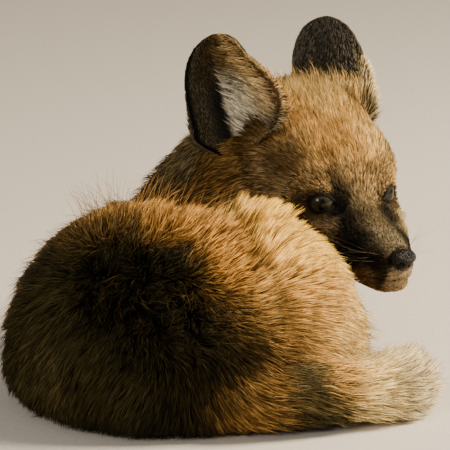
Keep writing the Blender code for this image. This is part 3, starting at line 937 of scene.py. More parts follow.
# %% Forms of the head
FORMS = (  # forward, sideways and up, reach, and how far the skin is pushed out, all in mm
    (2, 21, 9.5, 4.5, 1.8),  # ridge of the brow
    (12, 12, -3, 4.5, -1.6),  # hollow before the eye
    (2, 0, 8, 7, -0.8),  # dip between the brows
    (10, 24, -13, 6, 0.8), (5, 28, -11, 6, 1.6), (19, 20, -16, 5.5, 2.4),  # cheekbone below the eye
    (28, 15.5, -19, 6, 1.6), (40, 8, -22, 4, 0.7),  # side of the muzzle
    (38, 2, -42, 6, 2.6), (26, 6, -44, 8, 2.0), (48, 1, -34, 4.5, 2.8),  # chin and lower jaw
    (-2, 30, 10, 8, 2.4), (-10, 28, 24, 9, 2.2),  # temple
)
MOUTH_GROOVE = 1.3  # mm deep
LID_CLEAR = 0.45  # mm of skin over the eyeball
SUNK_RIM = 1.2  # mm that the skin goes inside the eyeball within the opening
FLOOR_SKIN = 0.6  # mm that the skin stays above the floor


# %% Shape the head and the feet
def shaped_head(points, normals):
    """The skin with the forms that the coat's outline hides. Each is amount x exp(-(distance /
    reach)^2 / 2), along the normal."""
    here = folded(to_head(points))
    for *centre, reach, amount in FORMS:
        bell = np.exp(-((here - centre) ** 2).sum(-1) / reach**2 / 2)
        points = points + normals * (amount * bell)[:, None]
    points = points - normals * (MOUTH_GROOVE * mouth_depth(here))[:, None]
    for side in SIDES:
        far, share, ray = around_eye(points, side)
        opened = ease(share, 0.96, 1.12)
        closed = np.maximum(far, EYE_RADIUS + LID_CLEAR)
        radius = (EYE_RADIUS - SUNK_RIM) * (1 - opened) + closed * opened
        points = np.where((far < 16)[:, None], eye_centres[side] + ray * radius[:, None], points)
    return points


def shaped_feet(points, normals):
    """The skin with a groove at each gap between the toes: the groove's depth x the gaps' bells."""
    return points - normals * (TOE_GROOVE * toe_gaps(points))[:, None]


inner_points = shaped_head(inner_points, point_normals(inner_points, skin_faces))
off_the_head = (np.linalg.norm(to_head(inner_points), axis=1) > 60)[:, None]
inner_points = np.where(off_the_head, smoothed(inner_points, 3, 0.3), inner_points)
inner_points = shaped_feet(inner_points, point_normals(inner_points, skin_faces))
inner_points[:, 2] = np.maximum(inner_points[:, 2], FLOOR_SKIN)
inner_normals = point_normals(inner_points, skin_faces)
print("skin shaped; lowest point at", inner_points[:, 2].min().round(2), "mm")

# %% [markdown]
# ## The skin under the coat
# Between the tufts the skin shows as fine dark underfur. So it takes the colour of the hair's
# root, a little darker, with a breath of the tip's, and bare places never shine through.

# %% Skin piece
skin_root, skin_tip, _ = marks_with_painted_light(inner_points)
skin_tint = skin_root * 0.75 + skin_tip * 0.1
skin = add_piece("skin", inner_points, skin_faces, bare_skin, tint=skin_tint)
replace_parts(skin, *FLESH)

# %% [markdown]
# ## The finish of the eye
# A cub's iris is a dark olive brown that is darkest at its edge, with fine fibres that run out from
# a slit pupil. A clear wet cornea lies over it, which is the coat layer: smooth, so that it
# mirrors the lamps. The pattern is read from a map that is centred on the look.

# %% Fox eye
WET_CORNEA = {"Coat Weight": 0.5, "Coat Roughness": 0.02, "Coat IOR": 1.38}
IRIS = [  # share of the eyeball's radius, and colour
    (0.0, "#15140B"), (0.16, "#1D1C12"), (0.30, "#2F2E1E"),  # iris, lighter outwards
    (0.38, "#12100A"), (0.43, "#080706"), (1.0, "#120C08"),  # its dark edge and the white's dark skin
]
fox_eye, tree, shader = new_material("fox_eye", {"Roughness": 0.4, "Specular IOR Level": 0.05, **WET_CORNEA})
look_map = node(tree, "ShaderNodeUVMap", uv_map="look").outputs["UV"]
VECTOR, NUMBER = "ShaderNodeVectorMath", "ShaderNodeMath"
spread = node(tree, VECTOR, {0: look_map, 1: (0.5, 0.5, 0.0)}, operation="SUBTRACT").outputs["Vector"]
from_axis = node(tree, VECTOR, {0: spread}, operation="LENGTH").outputs["Value"]
narrowed = node(tree, VECTOR, {0: spread, 1: (2.1, 1.0, 1.0)}, operation="MULTIPLY").outputs["Vector"]
slit = node(tree, VECTOR, {0: narrowed}, operation="LENGTH").outputs["Value"]
fibres = node(tree, "ShaderNodeTexNoise", {"Vector": spread, "Scale": 60.0, "Detail": 4.0}).outputs["Fac"]
uneven = node(tree, NUMBER, {0: fibres, 1: 0.06}, operation="MULTIPLY").outputs["Value"]
rings = node(tree, NUMBER, {0: uneven, 1: from_axis}, operation="ADD").outputs["Value"]
iris = node(tree, "ShaderNodeValToRGB", {"Fac": rings}, IRIS).outputs["Color"]
pupil_edge = {"Value": slit, "From Min": 0.18, "From Max": 0.21, "To Min": 1.0, "To Max": 0.0}
in_pupil = node(tree, "ShaderNodeMapRange", pupil_edge).outputs["Result"]
mixed = {"Factor": in_pupil, 6: iris, 7: rgba("#050505")}  # 6 and 7 are its two colours
painted = node(tree, "ShaderNodeMix", mixed, data_type="RGBA")
tree.links.new(painted.outputs[2], shader.inputs["Base Color"])

# %% [markdown]
# ## Eyeballs
# Each eyeball is a ball drawn out a little at the front, as the clear front of an eye is. One
# shell with a clear coat is enough, because a glass cornea over a second ball can't be seen from
# where a visitor stands.


# %% Eyeballs
def ball(rows, columns):
    """Directions over a ball, (cos p, sin p cos t, sin p sin t), with the angle p from the first
    axis and the turn t round it. The angles come along."""
    polar = np.linspace(0.0, math.pi, rows)[:, None]
    turn = np.linspace(0, 2 * math.pi, columns, endpoint=False)[None]
    ways = [np.cos(polar) + 0 * turn, np.sin(polar) * np.cos(turn), np.sin(polar) * np.sin(turn)]
    return np.stack(ways, axis=-1).reshape(-1, 3), np.repeat(polar, columns)


EYE_ROWS, EYE_COLUMNS = 33, 48
BULGE, BULGE_REACH = 0.05, 0.55  # share of the radius, and radians from the look
BEHIND_THE_EYE = 0.98  # where the map puts all that faces backwards
way, polar = ball(EYE_ROWS, EYE_COLUMNS)
radius = EYE_RADIUS * (1 + BULGE * np.exp(-((polar / BULGE_REACH) ** 2)))
# the map: half the sine of the angle from the look, along the opening and across it
places = 0.5 + way[:, 1:] * 0.5
places[way[:, 0] < 0] = BEHIND_THE_EYE
for side in SIDES:
    axes = np.stack([eye_looks[side], eye_sides[side], eye_ups[side]])
    points = (way * radius[:, None]) @ axes + eye_centres[side]
    faces = grid_faces(EYE_ROWS, EYE_COLUMNS, True)
    eye = add_piece(f"eye_{side}_ball", points, faces, fox_eye, maps=[("look", places)])
    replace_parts(merged(eye), "eye_" + side)

# %% [markdown]
# ## Lids
# The rim of a fox's eye is bare black skin, finely pebbled, rounded like a cord and drawn out at
# both corners. It could be pushed out of the skin, but the skin's squares are far too coarse
# for it, so it is a closed roll of its own, carried round an almond on the eyeball.

# %% Lids
# bare black skin with cells of 0.45 mm, which break up its shine
lid_skin = patterned(
    "lid_skin", {"Roughness": 0.7, "Specular IOR Level": 0.12}, 2.2, [(0.0, "#0F0C09"), (1.0, "#050403")],
    relief=(0.4, 0.0002),
)
LID_ROLL = np.array([  # share of the opening, and mm from the eyeball's centre, round the roll
    (0.94, 8.15), (0.96, 8.35), (1.01, 8.52), (1.07, 8.55), (1.13, 8.45),
    (1.20, 8.2), (1.20, 7.8), (1.12, 7.5), (0.97, 7.6),
])
LID_TURNS = 72
CORNER_DRAWN = 0.16  # how much farther the inner corner reaches towards the nose


def lid_points(side):
    """The roll carried round the almond: across = half width x share x cos(turn), up = half
    height x share x sin(turn)^1.3, and both are turned into a ray from the eyeball's centre."""
    turn = np.linspace(0, 2 * math.pi, LID_TURNS, endpoint=False)[:, None]
    share, reach = LID_ROLL[None, :, 0], LID_ROLL[None, :, 1]
    half = np.where(np.cos(turn) > 0, INNER_HALF[side], OPENING[0])
    across = half * share * np.cos(turn) * (1 + CORNER_DRAWN * np.clip(np.cos(turn), 0, 1) ** 6)
    tall = np.sign(np.sin(turn)) * np.abs(np.sin(turn)) ** 1.3
    up = OPENING[1] * share * np.where(tall > 0, tall, tall * 0.92)
    ahead = np.sqrt(np.clip(EYE_RADIUS**2 - across**2 - up**2, 1.0, None))
    axes = np.stack([eye_sides[side], eye_ups[side], eye_looks[side]])
    ray = unit(np.stack([across, up, ahead], axis=-1) @ axes)
    return (eye_centres[side] + ray * reach[..., None]).reshape(-1, 3)


def torus_faces(rows, columns):
    """A grid's squares, closed both ways."""
    first, last = np.arange(columns), np.arange(columns) + (rows - 1) * columns
    joining = np.stack([last, np.roll(last, -1), np.roll(first, -1), first], axis=1)
    return np.vstack([grid_faces(rows, columns, True), joining])


for side in SIDES:
    faces = torus_faces(LID_TURNS, len(LID_ROLL))
    merged(add_piece("lids_" + side, lid_points(side), faces, lid_skin))

# %% [markdown]
# ## Nose
# The nose pad is bare black skin, moist, and pebbled in cells of three quarters of a millimetre.
# Its shape is a ball whose radius falls off into the two nostrils and the groove between them,
# which leaves no seams to close. The pebbles are a relief, as they are too small for faces.

# %% Nose pad
# each cell stands up as a small dome, and its edges are the darkest
nose_skin = patterned(
    "nose_pad_skin", {"Roughness": 0.30, "Specular IOR Level": 0.22}, 1.3,
    [(0.0, "#140F0D"), (0.7, "#0A0706"), (1.0, "#030303")], relief=(0.9, 0.0005), inverted=True,
)
NOSE_RADII = (6.0, 7.2, 5.6)
NOSE_ROWS, NOSE_COLUMNS = 48, 72
NOSTRILS = (  # direction, reach in shares of the radius, and depth in mm of each hollow
    ((0.70, 0.58, -0.25), 0.20, 3.0),  # nostril
    ((0.35, 0.86, -0.42), 0.17, 2.4),  # its slit to the side
    ((0.93, 0.0, -0.40), 0.12, 0.9),  # groove in the middle
)


def nose_points():
    """A ball whose radius is less the bells of the hollows, flat on top and narrow below."""
    way, _ = ball(NOSE_ROWS, NOSE_COLUMNS)
    radius = np.ones(len(way))
    for direction, reach, depth in NOSTRILS:
        for sign in (1, -1) if direction[1] else (1,):
            near = np.linalg.norm(way - unit(np.array(direction) * (1, sign, 1)), axis=1)
            radius -= depth / NOSE_RADII[0] * np.exp(-((near / reach) ** 2))
    local = way * radius[:, None] * NOSE_RADII
    local[:, 1] *= 1 + 0.22 * way[:, 2]
    local[:, 2] = np.where(local[:, 2] > 0, local[:, 2] * 0.92, local[:, 2])
    return from_head(local + to_head(centre_of("nose_pad")))


faces = grid_faces(NOSE_ROWS, NOSE_COLUMNS, True)
nose = merged(add_piece("nose_pad_pebbled", nose_points(), faces, nose_skin))
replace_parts(nose, "nose_pad")

# %% [markdown]
# ## Lips
# The lips are the same bare black skin as the lids. They show as a thin dark cord in the mouth's
# groove, thickest half-way and closed to a point at both ends. A tube laid on the skin's nearest
# points follows the groove without another measure.


# %% Lips
def nearest_skin(points):
    """The skin's nearest point to each place."""
    near = np.linalg.norm(inner_points - points.mean(axis=0), axis=1) < 60
    pool = inner_points[near]
    return pool[np.linalg.norm(points[:, None] - pool[None], axis=-1).argmin(axis=1)]


def rings_across(path, radii, sides):
    """Rings of points round a path, or round each of many: centre + radius x (cos(turn) side +
    sin(turn) over), where side and over stand across the path."""
    way = unit(np.gradient(path, axis=-2))
    side = unit(np.cross(way, (0.13, 0.21, 0.97)))
    over = np.cross(side, way)
    turn = np.linspace(0, 2 * math.pi, sides, endpoint=False)[:, None]
    ring = np.cos(turn) * side[..., None, :] + np.sin(turn) * over[..., None, :]
    return (path[..., None, :] + ring * radii[..., None, None]).reshape(-1, 3)


LIP_SIDES = 8
POINTED = 1e-4  # mm, the radius where a tube is closed
lip_radii = 0.75 * np.sin(np.linspace(0.0, math.pi, MOUTH_POINTS)) ** 0.35 + POINTED
for side in ("left", "right"):
    path = rounded(nearest_skin(from_head(mouth_line * (1, SIDES[side], 1))), 6)
    faces = grid_faces(MOUTH_POINTS, LIP_SIDES, True)
    merged(add_piece("lip_" + side, rings_across(path, lip_radii, LIP_SIDES), faces, lid_skin))

# %% [markdown]
# ## Ears
# A fox's ear is a thin leaf of gristle and skin, rolled into a cup. Its width follows an arch from
# root to tip, and its edges turn towards the opening. It is a surface of two shares, root to tip
# and edge to edge, because its hair can then ask for any place on it. Back and front are one shell.

# %% Ear surfaces
EAR_PLACES = {  # root, tip and the way the hollow faces, in the head's own mm
    "right": ((-49, -32, 16), (-74, -39, 71), (0.60, -0.80, -0.10)),
    "left": ((-60, 21, 16), (-75, 33, 74), (-0.42, 0.90, -0.10)),
}
EAR_HALF_WIDTH = 24.0
EAR_ROOT = -0.12  # the share where the shell starts, inside the head
EAR_BACK = 1.2  # mm that the leaf's back lies inside the ear's outline, which is that of its fur
EAR_FORWARD = {"right": 1.0, "left": -1.0}  # the lane of each ear's forward edge
EAR_FLARE = {"right": (4.5, 10.0, -3.0), "left": (1.5, -2.0, 0.0)}  # how that edge spreads over the crown
EAR_BEHIND = {"right": 0.88, "left": 1.05}  # how wide the other half is beside it


def ear_surface(side, share, lane, deep):
    """A place on the ear. Share runs from root to tip, lane from edge to edge, and deep is how
    far the place is from the back towards the opening, in mm. The half width is
    24 (1 - share^4)^0.55 (0.92 + 0.20 share), less behind, at the root, and near the tip in front.
    It is carried round an arc whose half angle is 1.15 (1 - share) + 0.35. Low down, the forward
    edge spreads over the crown by flare x sin(pi share / 0.75)."""
    root, tip, opening = (np.array(place, float) for place in EAR_PLACES[side])
    stem = tip - root
    opening = unit(opening - stem * (opening @ stem) / (stem @ stem))
    across = unit(np.cross(stem, opening))
    forward = lane * EAR_FORWARD[side]
    half = EAR_HALF_WIDTH * (1 - share**4) ** 0.55 * (0.92 + 0.20 * share) + 0.1
    half = half * (0.42 + 0.58 * ease(share, EAR_ROOT, 0.2))
    half = half * np.where(forward < 0, EAR_BEHIND[side], 1 - 0.16 * ease(share, 0.4, 0.85))
    bend = 1.15 * (1 - share) + 0.35
    turn = lane * bend
    spread = np.sin(turn) * half / np.sin(bend)
    hollow = (1 - np.cos(turn)) * half / np.sin(bend)
    inward = -across * np.sin(turn)[..., None] + opening * np.cos(turn)[..., None]
    flare = np.sin(math.pi * np.clip(share / 0.75, 0, 1)) * np.clip(forward, 0, 1) ** 1.5
    place = root + stem * share[..., None] + across * spread[..., None] + opening * hollow[..., None]
    place = place + np.array(EAR_FLARE[side]) * flare[..., None]
    return from_head(place + inward * deep[..., None]), inward @ head_turn


# %% Ear shell
def ear_wall(lane):
    """The leaf's thickness in mm, 1.2 cos(1.3 lane) + 0.3: thick in the middle, thin at the edges."""
    return 1.2 * np.cos(lane * 1.3) + 0.3


def ear_shell(side, rows=40, columns=25):
    """The back's lanes one way and the front's lanes the other way make closed rings. Rows stand
    closer towards the tip: share follows the sine of an even step."""
    rise = EAR_ROOT + (1 - EAR_ROOT) * np.sin(np.linspace(0.0, math.pi / 2, rows))
    share = np.repeat(rise[:, None], 2 * columns, axis=1)
    lanes = np.r_[np.linspace(-1, 1, columns), np.linspace(1, -1, columns)]
    lane = np.repeat(lanes[None], rows, axis=0)
    front = np.repeat(np.r_[np.zeros(columns), np.ones(columns)][None], rows, axis=0)
    deep = EAR_BACK + ear_wall(lane) * front
    deep[[0, -1]] = 1.5
    points, _ = ear_surface(side, share, lane, deep)
    faces = grid_faces(rows, 2 * columns, True)
    return points.reshape(-1, 3), faces, share.ravel(), lane.ravel(), front.ravel() > 0.5


for side, (root, tip, _) in EAR_PLACES.items():
    print("the", side, "ear is", round(math.dist(root, tip)), "mm from root to tip")

# %% [markdown]
# ## Colours of the ears
# A fox's ears are black behind. The hollow gets painted shade, with olive down at the outer edge
# and long cream hair in front of the inner one.

# %% Colours of the ears
EAR_TONES = {  # root and tip of the hair
    "black": ("#262320", "#827A6A"),
    "rim": ("#080706", "#14110E"),
    "tawny": ("#86602E", "#FFDA94"),
    "cream": ("#5C513C", "#FFF6DA"),
    "edge_right": ("#5C4424", "#F2C27A"),
    "edge_left": ("#6A5632", "#FFECB8"),
    "gold": ("#0E0A05", "#786238"),
    # painted shade in the ear's hollow
    "hollow": ("#0C0A07", "#302A1C"),
    "olive": ("#332C1E", "#867A5C"),
}
ear_tones = {name: np.array([linear(code) for code in codes]) for name, codes in EAR_TONES.items()}


def over(lower, upper, share):
    """Each row's colours: lower x (1 - share) + upper x share. The upper may be a tone's name."""
    if isinstance(upper, str):
        upper = ear_tones[upper]
    return lower * (1 - share)[:, None, None] + upper * share[:, None, None]


def ear_colours(share, lane, side, inside):
    """Black behind, over a tawny root. Inside, from the outer edge to the inner one: a black rim,
    olive down, painted shade in the hollow, and long cream hair that is gold near the tip and
    tawny at the edge next to the crown."""
    flat = lane * EAR_FORWARD[side]
    brightness = (0.3 + 0.7 * ease(share, 0.12, 0.42))[:, None, None]  # darker where it leaves the head
    root_edge = 0.52 + 0.02 * np.sin(9 * lane) + 0.015 * np.sin(23 * lane)
    back = over(ear_tones["black"], "tawny", ease(root_edge - share, 0.0, 0.06))
    back = over(back, ear_tones["olive"] * 0.6, ease(-flat, 0.2, 0.6) * ease(0.6 - share, 0.0, 0.1))
    edge = ear_tones["edge_" + side] * brightness
    back = over(back, edge, ease(flat, 0.7, 0.9) * ease(0.75 - share, 0.0, 0.15))
    front = over(ear_tones["olive"], "hollow", ease(flat, -0.6, -0.35))
    front = over(front, "cream", ease(flat, -0.25, 0.0))
    front = over(front, "gold", ease(share, 0.42, 0.72) * ease(flat, -0.9, -0.6))
    front = over(front, ear_tones["tawny"] * brightness, ease(flat, 0.35, 0.85) * 0.8)
    front = over(front, "rim", ease(-flat, 0.86, 0.95))
    return np.where(np.asarray(inside)[:, None, None], front, back)


# bare skin of the ear with a fine down on it, greasy and a little shinier than the body's
ear_skin = fur_material("ear_skin", 0.7, 0.3, 0.5, {"Roughness": 0.8, "Specular IOR Level": 0.25})
for side in SIDES:
    points, faces, share, lane, inside = ear_shell(side)
    tint = ear_colours(share, lane, side, inside)[:, 0] * 0.6
    ear = add_piece(f"ear_{side}_shell", points, faces, ear_skin, tint=tint)
    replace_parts(merged(ear), "ear_" + side)

# %% [markdown]
# ## Tufts
# A cub wears far more hairs than a model can hold. Hair curves and cards of painted hair are two
# ways to draw them, but a model that leaves Blender keeps only faces, and cards look flat from the
# side. So hair is grown as small closed spindles: a root, one or two rings of three points, and a
# tip. Each stands for a few hairs that cling together. It rises from the skin and bends over along
# the lie, and neighbours lean together into locks.


# %% Places and locks
def sampled(faces, chance, count, rng):
    """Random places on squares. A square is taken as often as its chance says, and the place in
    it mixes its corners by two random shares."""
    total = np.cumsum(chance)
    face = faces[np.minimum(np.searchsorted(total, rng.random(count) * total[-1]), len(faces) - 1)]
    u, v = rng.random((2, count, 1))
    corners = np.array([(1 - u) * (1 - v), u * (1 - v), u * v, (1 - u) * v])
    place = sum(c * inner_points[face[:, i]] for i, c in enumerate(corners))
    normal = sum(c * inner_normals[face[:, i]] for i, c in enumerate(corners))
    return place, unit(normal)


def gathered(roots, tips, size, share, seed):
    """Tips drawn together: roots in the same wavy cell of a lattice share one mean tip, and each
    tip moves this share of the way to it."""
    warped = roots + np.stack([noise(roots, size * 2.5, seed + k) for k in range(3)], axis=1) * size
    cell = np.floor(warped / size).astype(np.int64)
    code = (cell[:, 0] * 7919 + cell[:, 1]) * 7919 + cell[:, 2]
    group = np.unique(code, return_inverse=True)[1].ravel()
    count = group.max() + 1
    amount = np.bincount(group)[:, None]
    mean = (summed(group, tips - roots, count) + summed(group, roots, count)) / amount
    return tips + (mean[group] - tips) * share


# %% [markdown]
# ## The tuft's shape
# A tuft's middle line is a bent curve, and its rings get thinner towards the tip. Long hair has
# two rings and short hair one.

# %% Tuft shapes
RINGS = {1: ((0.42, 1.0),), 2: ((0.30, 1.0), (0.68, 0.78))}  # place on the tuft, and share of its width
WOBBLE, WOBBLE_IN_WAVES = 0.15, 0.35  # radians that hair strays from its lie, alone and together
LENGTHS_FROM, LENGTHS_TO = 0.72, 1.18  # shares of the table's length
LIFT_STRAYS = 5  # degrees
BEND_STEEPER, TIP_LOWER = 0.38, 0.2  # radians
WIDTHS_FROM, WIDTHS_TO = 0.75, 1.25
ROOT_DEEP = 0.5  # mm that a root is sunk into the skin
FLOOR_CLEAR = 0.4  # mm that every point stays above the floor


def middle_lines(hair, locks, rng, seed):
    """Root, bend and tip of each tuft's middle line. The bend stands steeper than the tip."""
    roots, normals, ways = hair["roots"], hair["normals"], hair["ways"]
    count = len(roots)
    wobble = rng.normal(0, 1, count) * (WOBBLE + hair.get("ruffled", 0.0))
    wobble = (wobble + WOBBLE_IN_WAVES * noise(roots, 5 * locks[0], seed + 9))[:, None]
    ways = unit(ways * np.cos(wobble) + np.cross(normals, ways) * np.sin(wobble))
    length = (hair["lengths"] * rng.uniform(LENGTHS_FROM, LENGTHS_TO, count))[:, None]
    lift = np.radians(hair["lifts"] + rng.normal(0, LIFT_STRAYS, count))[:, None]
    steep, low = lift + BEND_STEEPER, np.clip(lift - TIP_LOWER, 0.06, None)
    bend = roots + 0.5 * length * (ways * np.cos(steep) + normals * np.sin(steep))
    tips = roots + length * (ways * np.cos(low) + normals * np.sin(low))
    tips = gathered(roots, tips, *locks, seed)
    tips[:, 2] = np.maximum(tips[:, 2], FLOOR_CLEAR + rng.random(count))
    bend[:, 2] = np.maximum(bend[:, 2], FLOOR_CLEAR + 0.5)
    return roots - normals * ROOT_DEEP, bend, tips


# %% Spindles
def spindles(start, bend, tips, normals, widths, rings):
    """Points of each tuft on the curve (1-t)^2 root + 2t(1-t) bend + t^2 tip: the root, rings of
    three points across the curve, and the tip."""
    way = unit(tips - start)
    side = unit(np.cross(way, normals))
    over_it = np.cross(side, way)
    turn = np.radians([90, 210, 330])[:, None]
    ring = np.cos(turn) * side[:, None] + np.sin(turn) * over_it[:, None]
    points = [start[:, None]]
    for t, size in RINGS[rings]:
        middle = (1 - t) ** 2 * start + 2 * t * (1 - t) * bend + t * t * tips
        points.append(middle[:, None] + ring * (widths / 2)[:, None, None] * size)
    points = np.concatenate([*points, tips[:, None]], axis=1)
    points[..., 2] = np.maximum(points[..., 2], FLOOR_CLEAR)
    return points


def spindle_faces(rings):
    """Triangles of one spindle, from its root point over its rings to its tip."""
    faces = [(0, 1 + (k + 1) % 3, 1 + k) for k in range(3)]
    for ring in range(rings - 1):
        a, b = 1 + 3 * ring, 4 + 3 * ring
        for k in range(3):
            n = (k + 1) % 3
            faces += [(a + k, a + n, b + n), (a + k, b + n, b + k)]
    last, tip = 1 + 3 * (rings - 1), 1 + 3 * rings
    faces += [(last + k, last + (k + 1) % 3, tip) for k in range(3)]
    return np.array(faces)


print("a short tuft has", len(spindle_faces(1)), "triangles and a long one", len(spindle_faces(2)))

# %% [markdown]
# ## The tuft's colours
# A hair's root is darker than the skin's colour there, partly its grey undercoat and partly painted
# shade deep in the coat. Its middle is nearly the tip's colour, and some tips are black. Tufts and
# whole locks differ in shade, which gives the coat its depth.

# %% Tuft colours
CONTRAST = {1: 0.42, 2: 0.30}  # short hair is more freckled than long hair
DARK_TIP, DARK_TUFT = 0.22, 0.6  # how bright a dark tip is, and the rest of its tuft


def point_shares(rings, stretch=1.0):
    """How far along the tuft each of its points is."""
    return np.array([0.0] + [t * stretch for t, _ in RINGS[rings] for _ in range(3)] + [1.0])


def tuft_colours(hair, rings, size, rng, seed):
    """A colour for each point: from the root's over a mix of both to the tip's, times the tuft's
    own shade and the shade of its lock."""
    roots, contrast = hair["roots"], CONTRAST[rings]
    dark = rng.random(len(roots)) < hair["dark_share"]
    tip = hair["tip"] * np.where(dark, DARK_TIP, 1.0)[:, None]
    shade = rng.uniform(1 - contrast, 1 + contrast, len(roots)) * np.where(dark, DARK_TUFT, 1.0)
    shade = (shade * (1 + contrast * noise(roots, size * 0.9, seed + 5)))[:, None]
    shares = point_shares(rings, 1.15)[None, :, None]
    grown, pointed = np.clip(shares / 0.7, 0, 1), np.clip((shares - 0.62) / 0.38, 0, 1)
    body = hair["root"] * 0.25 + hair["tip"] * 0.75
    # the root colour is darkened further: partly grey undercoat, partly painted shade deep in the coat
    lower = hair["root"][:, None] * (1 - 1.2 * contrast) * (1 - grown) + body[:, None] * grown
    return (lower * (1 - pointed) + tip[:, None] * pointed) * shade[:, None]


# %% [markdown]
# ## The map of the coat
# Each piece of coat carries a map for later baking. A tuft has its own small patch, whose place
# follows from where its root is on the body, so that neighbours on the body are neighbours there.

# %% Coat maps
PATCH = 0.003  # size of a tuft's patch on its map
FAR_OFF = 1e9  # mm, farther than any point
MAP_LOW, MAP_SPAN = 0.002, 0.992  # where the roots lie on it, which leaves room for the patches


def unrolled(points, axis):
    """A map round a bent axis: along is the length passed on the axis, round is the turn about
    it, and both are scaled into the unit square."""
    step = np.linalg.norm(np.diff(axis, axis=0), axis=1)
    passed = np.r_[0, np.cumsum(step)]
    best, along, turned = np.full(len(points), FAR_OFF), np.zeros(len(points)), np.zeros(len(points))
    for i, (start, length) in enumerate(zip(axis[:-1], step)):
        way = unit(axis[i + 1] - start)
        low = -FAR_OFF if i == 0 else 0.0
        high = FAR_OFF if i == len(step) - 1 else length
        reach = np.clip((points - start) @ way, low, high)
        away = points - start - reach[:, None] * way
        far = np.linalg.norm(away, axis=1)
        side = unit(np.cross(way, (0.0, 0.05, 1.0)))
        here = far < best
        best[here], along[here] = far[here], passed[i] + reach[here]
        turned[here] = np.arctan2(away[here] @ side, away[here] @ np.cross(side, way))
    along = (along - along.min()) / (np.ptp(along) + TINY)
    return MAP_LOW + MAP_SPAN * np.stack([along, turned / (2 * math.pi) + 0.5], axis=1)


def tuft_maps(roots, axis, rings):
    """Map places of each tuft's points: its root's place and a patch beside it."""
    sideways = np.array([0.5] + [0.0, 0.5, 1.0] * rings + [0.5])
    patch = np.stack([point_shares(rings), sideways], axis=1) * PATCH
    return unrolled(roots, axis)[:, None] * (1 - PATCH) + patch[None]


# %% [markdown]
# ## A piece of coat
# Everything about one piece comes together here: lines, shapes, colours and map of its tufts.


# %% Grow tufts
def grow(name, hair, rings, locks, axis, material, seed):
    """One piece of coat. Locks are (mm across, share that tips move together)."""
    rng = np.random.default_rng(seed)
    count = len(hair["roots"])
    lines = middle_lines(hair, locks, rng, seed)
    widths = hair["widths"] * rng.uniform(WIDTHS_FROM, WIDTHS_TO, count)
    points = spindles(*lines, hair["normals"], widths, rings)
    tint = tuft_colours(hair, rings, locks[0], rng, seed)
    places = tuft_maps(hair["roots"], axis, rings)
    faces = spindle_faces(rings)[None] + (np.arange(count) * points.shape[1])[:, None, None]
    points, tint, faces = points.reshape(-1, 3), tint.reshape(-1, 3), faces.reshape(-1, 3)
    maps = [("OFBake", places.reshape(-1, 2))]
    print(name, "is", count, "tufts")
    return add_piece(name, points, faces, material, tint=tint, maps=maps)


# %% [markdown]
# ## Where tufts grow
# Hair grows everywhere but on the eyes and the nose, and thinly on the mouth and under the body,
# where nobody looks. Each square of the skin gets a chance by its size and its place's crowding.

# %% Where tufts grow on the skin
BARE_OPENING, BARE_NOSE = 1.10, 6.5  # share of the eye opening, and mm from the nose's centre
MOUTH_THINNER, UNDERSIDE = 0.8, 0.1  # how much thinner hair is on the mouth, and how thin below
square_middles = inner_points[skin_faces].mean(axis=1)
square_ways = diagonals_crossed(inner_points, skin_faces)
square_areas = np.linalg.norm(square_ways, axis=1) / 2
square_numbers, _, square_groups = coat_at(square_middles, unit(square_ways))
chances = square_areas * square_numbers[:, CROWDING]
for side in SIDES:
    far, share, _ = around_eye(square_middles, side)
    chances = np.where((far < 14) & (share < BARE_OPENING), 0.0, chances)
nose_near = np.linalg.norm(square_middles - centre_of("nose_pad"), axis=1)
chances = np.where(nose_near < BARE_NOSE, 0.0, chances)
chances = chances * (1 - MOUTH_THINNER * mouth_depth(folded(to_head(square_middles))))
hidden = (unit(square_ways)[:, 2] < -0.75) & (square_middles[:, 2] < 14)
chances = np.where(hidden, chances * UNDERSIDE, chances)
print((chances > 0).sum(), "of", len(chances), "squares of skin bear hair")


def hair_on_skin(groups, count, seed):
    """Roots for one piece of coat, with the numbers and colours of their places."""
    rng = np.random.default_rng(seed)
    wanted = np.isin(square_groups, groups)
    roots, normals = sampled(skin_faces[wanted], chances[wanted], int(count * THINNING), rng)
    value, ways, _ = coat_at(roots, normals)
    lengths = value[:, LENGTH]
    for side in SIDES:
        far, share, _ = around_eye(roots, side)
        lengths = np.where(far < 16, lengths * (0.3 + 0.7 * ease(share, 1.1, 2.3)), lengths)
    # colours mix at their edges, over a share of the hair's length
    strayed = roots + rng.normal(0, 0.13, roots.shape) * value[:, LENGTH : LENGTH + 1]
    root, tip, dark = marks_with_painted_light(strayed)
    return dict(
        roots=roots, normals=normals, ways=ways, lengths=lengths, lifts=value[:, LIFT],
        widths=value[:, WIDTH], ruffled=value[:, RUFFLED], root=root, tip=tip, dark_share=dark,
    )


# %% [markdown]
# ## The coat
# The coat is cut into pieces by region, so that each stays light and can be looked at alone. An
# axis runs through each region, and its map is unrolled round that.

# %% Coat pieces
SPINE = on_body(
    [(35, 75, 60), (-9, 57, 45), (-34, 33, 45), (-46, 1, 45), (-40, -35, 45), (-10, -60, 45), (40, -60, 45)]
)
HEAD_AXIS = from_head([(-60, 0, 0), (-20, 0, 0), (20, 0, -15), (45, 0, -24)])
NECK_AXIS = on_body([(-25, 40, 46), (-5, 58, 76), (26, 62, 100)])
TAIL_AXIS = on_body([(-20, -85, 25), (14, -90, 20), (50, -84, 17), (80, -65, 16), (94, -42, 16)])
FEET_AXIS = on_body([(-4, 60, 12), (40, 40, 10), (70, 10, 8)])
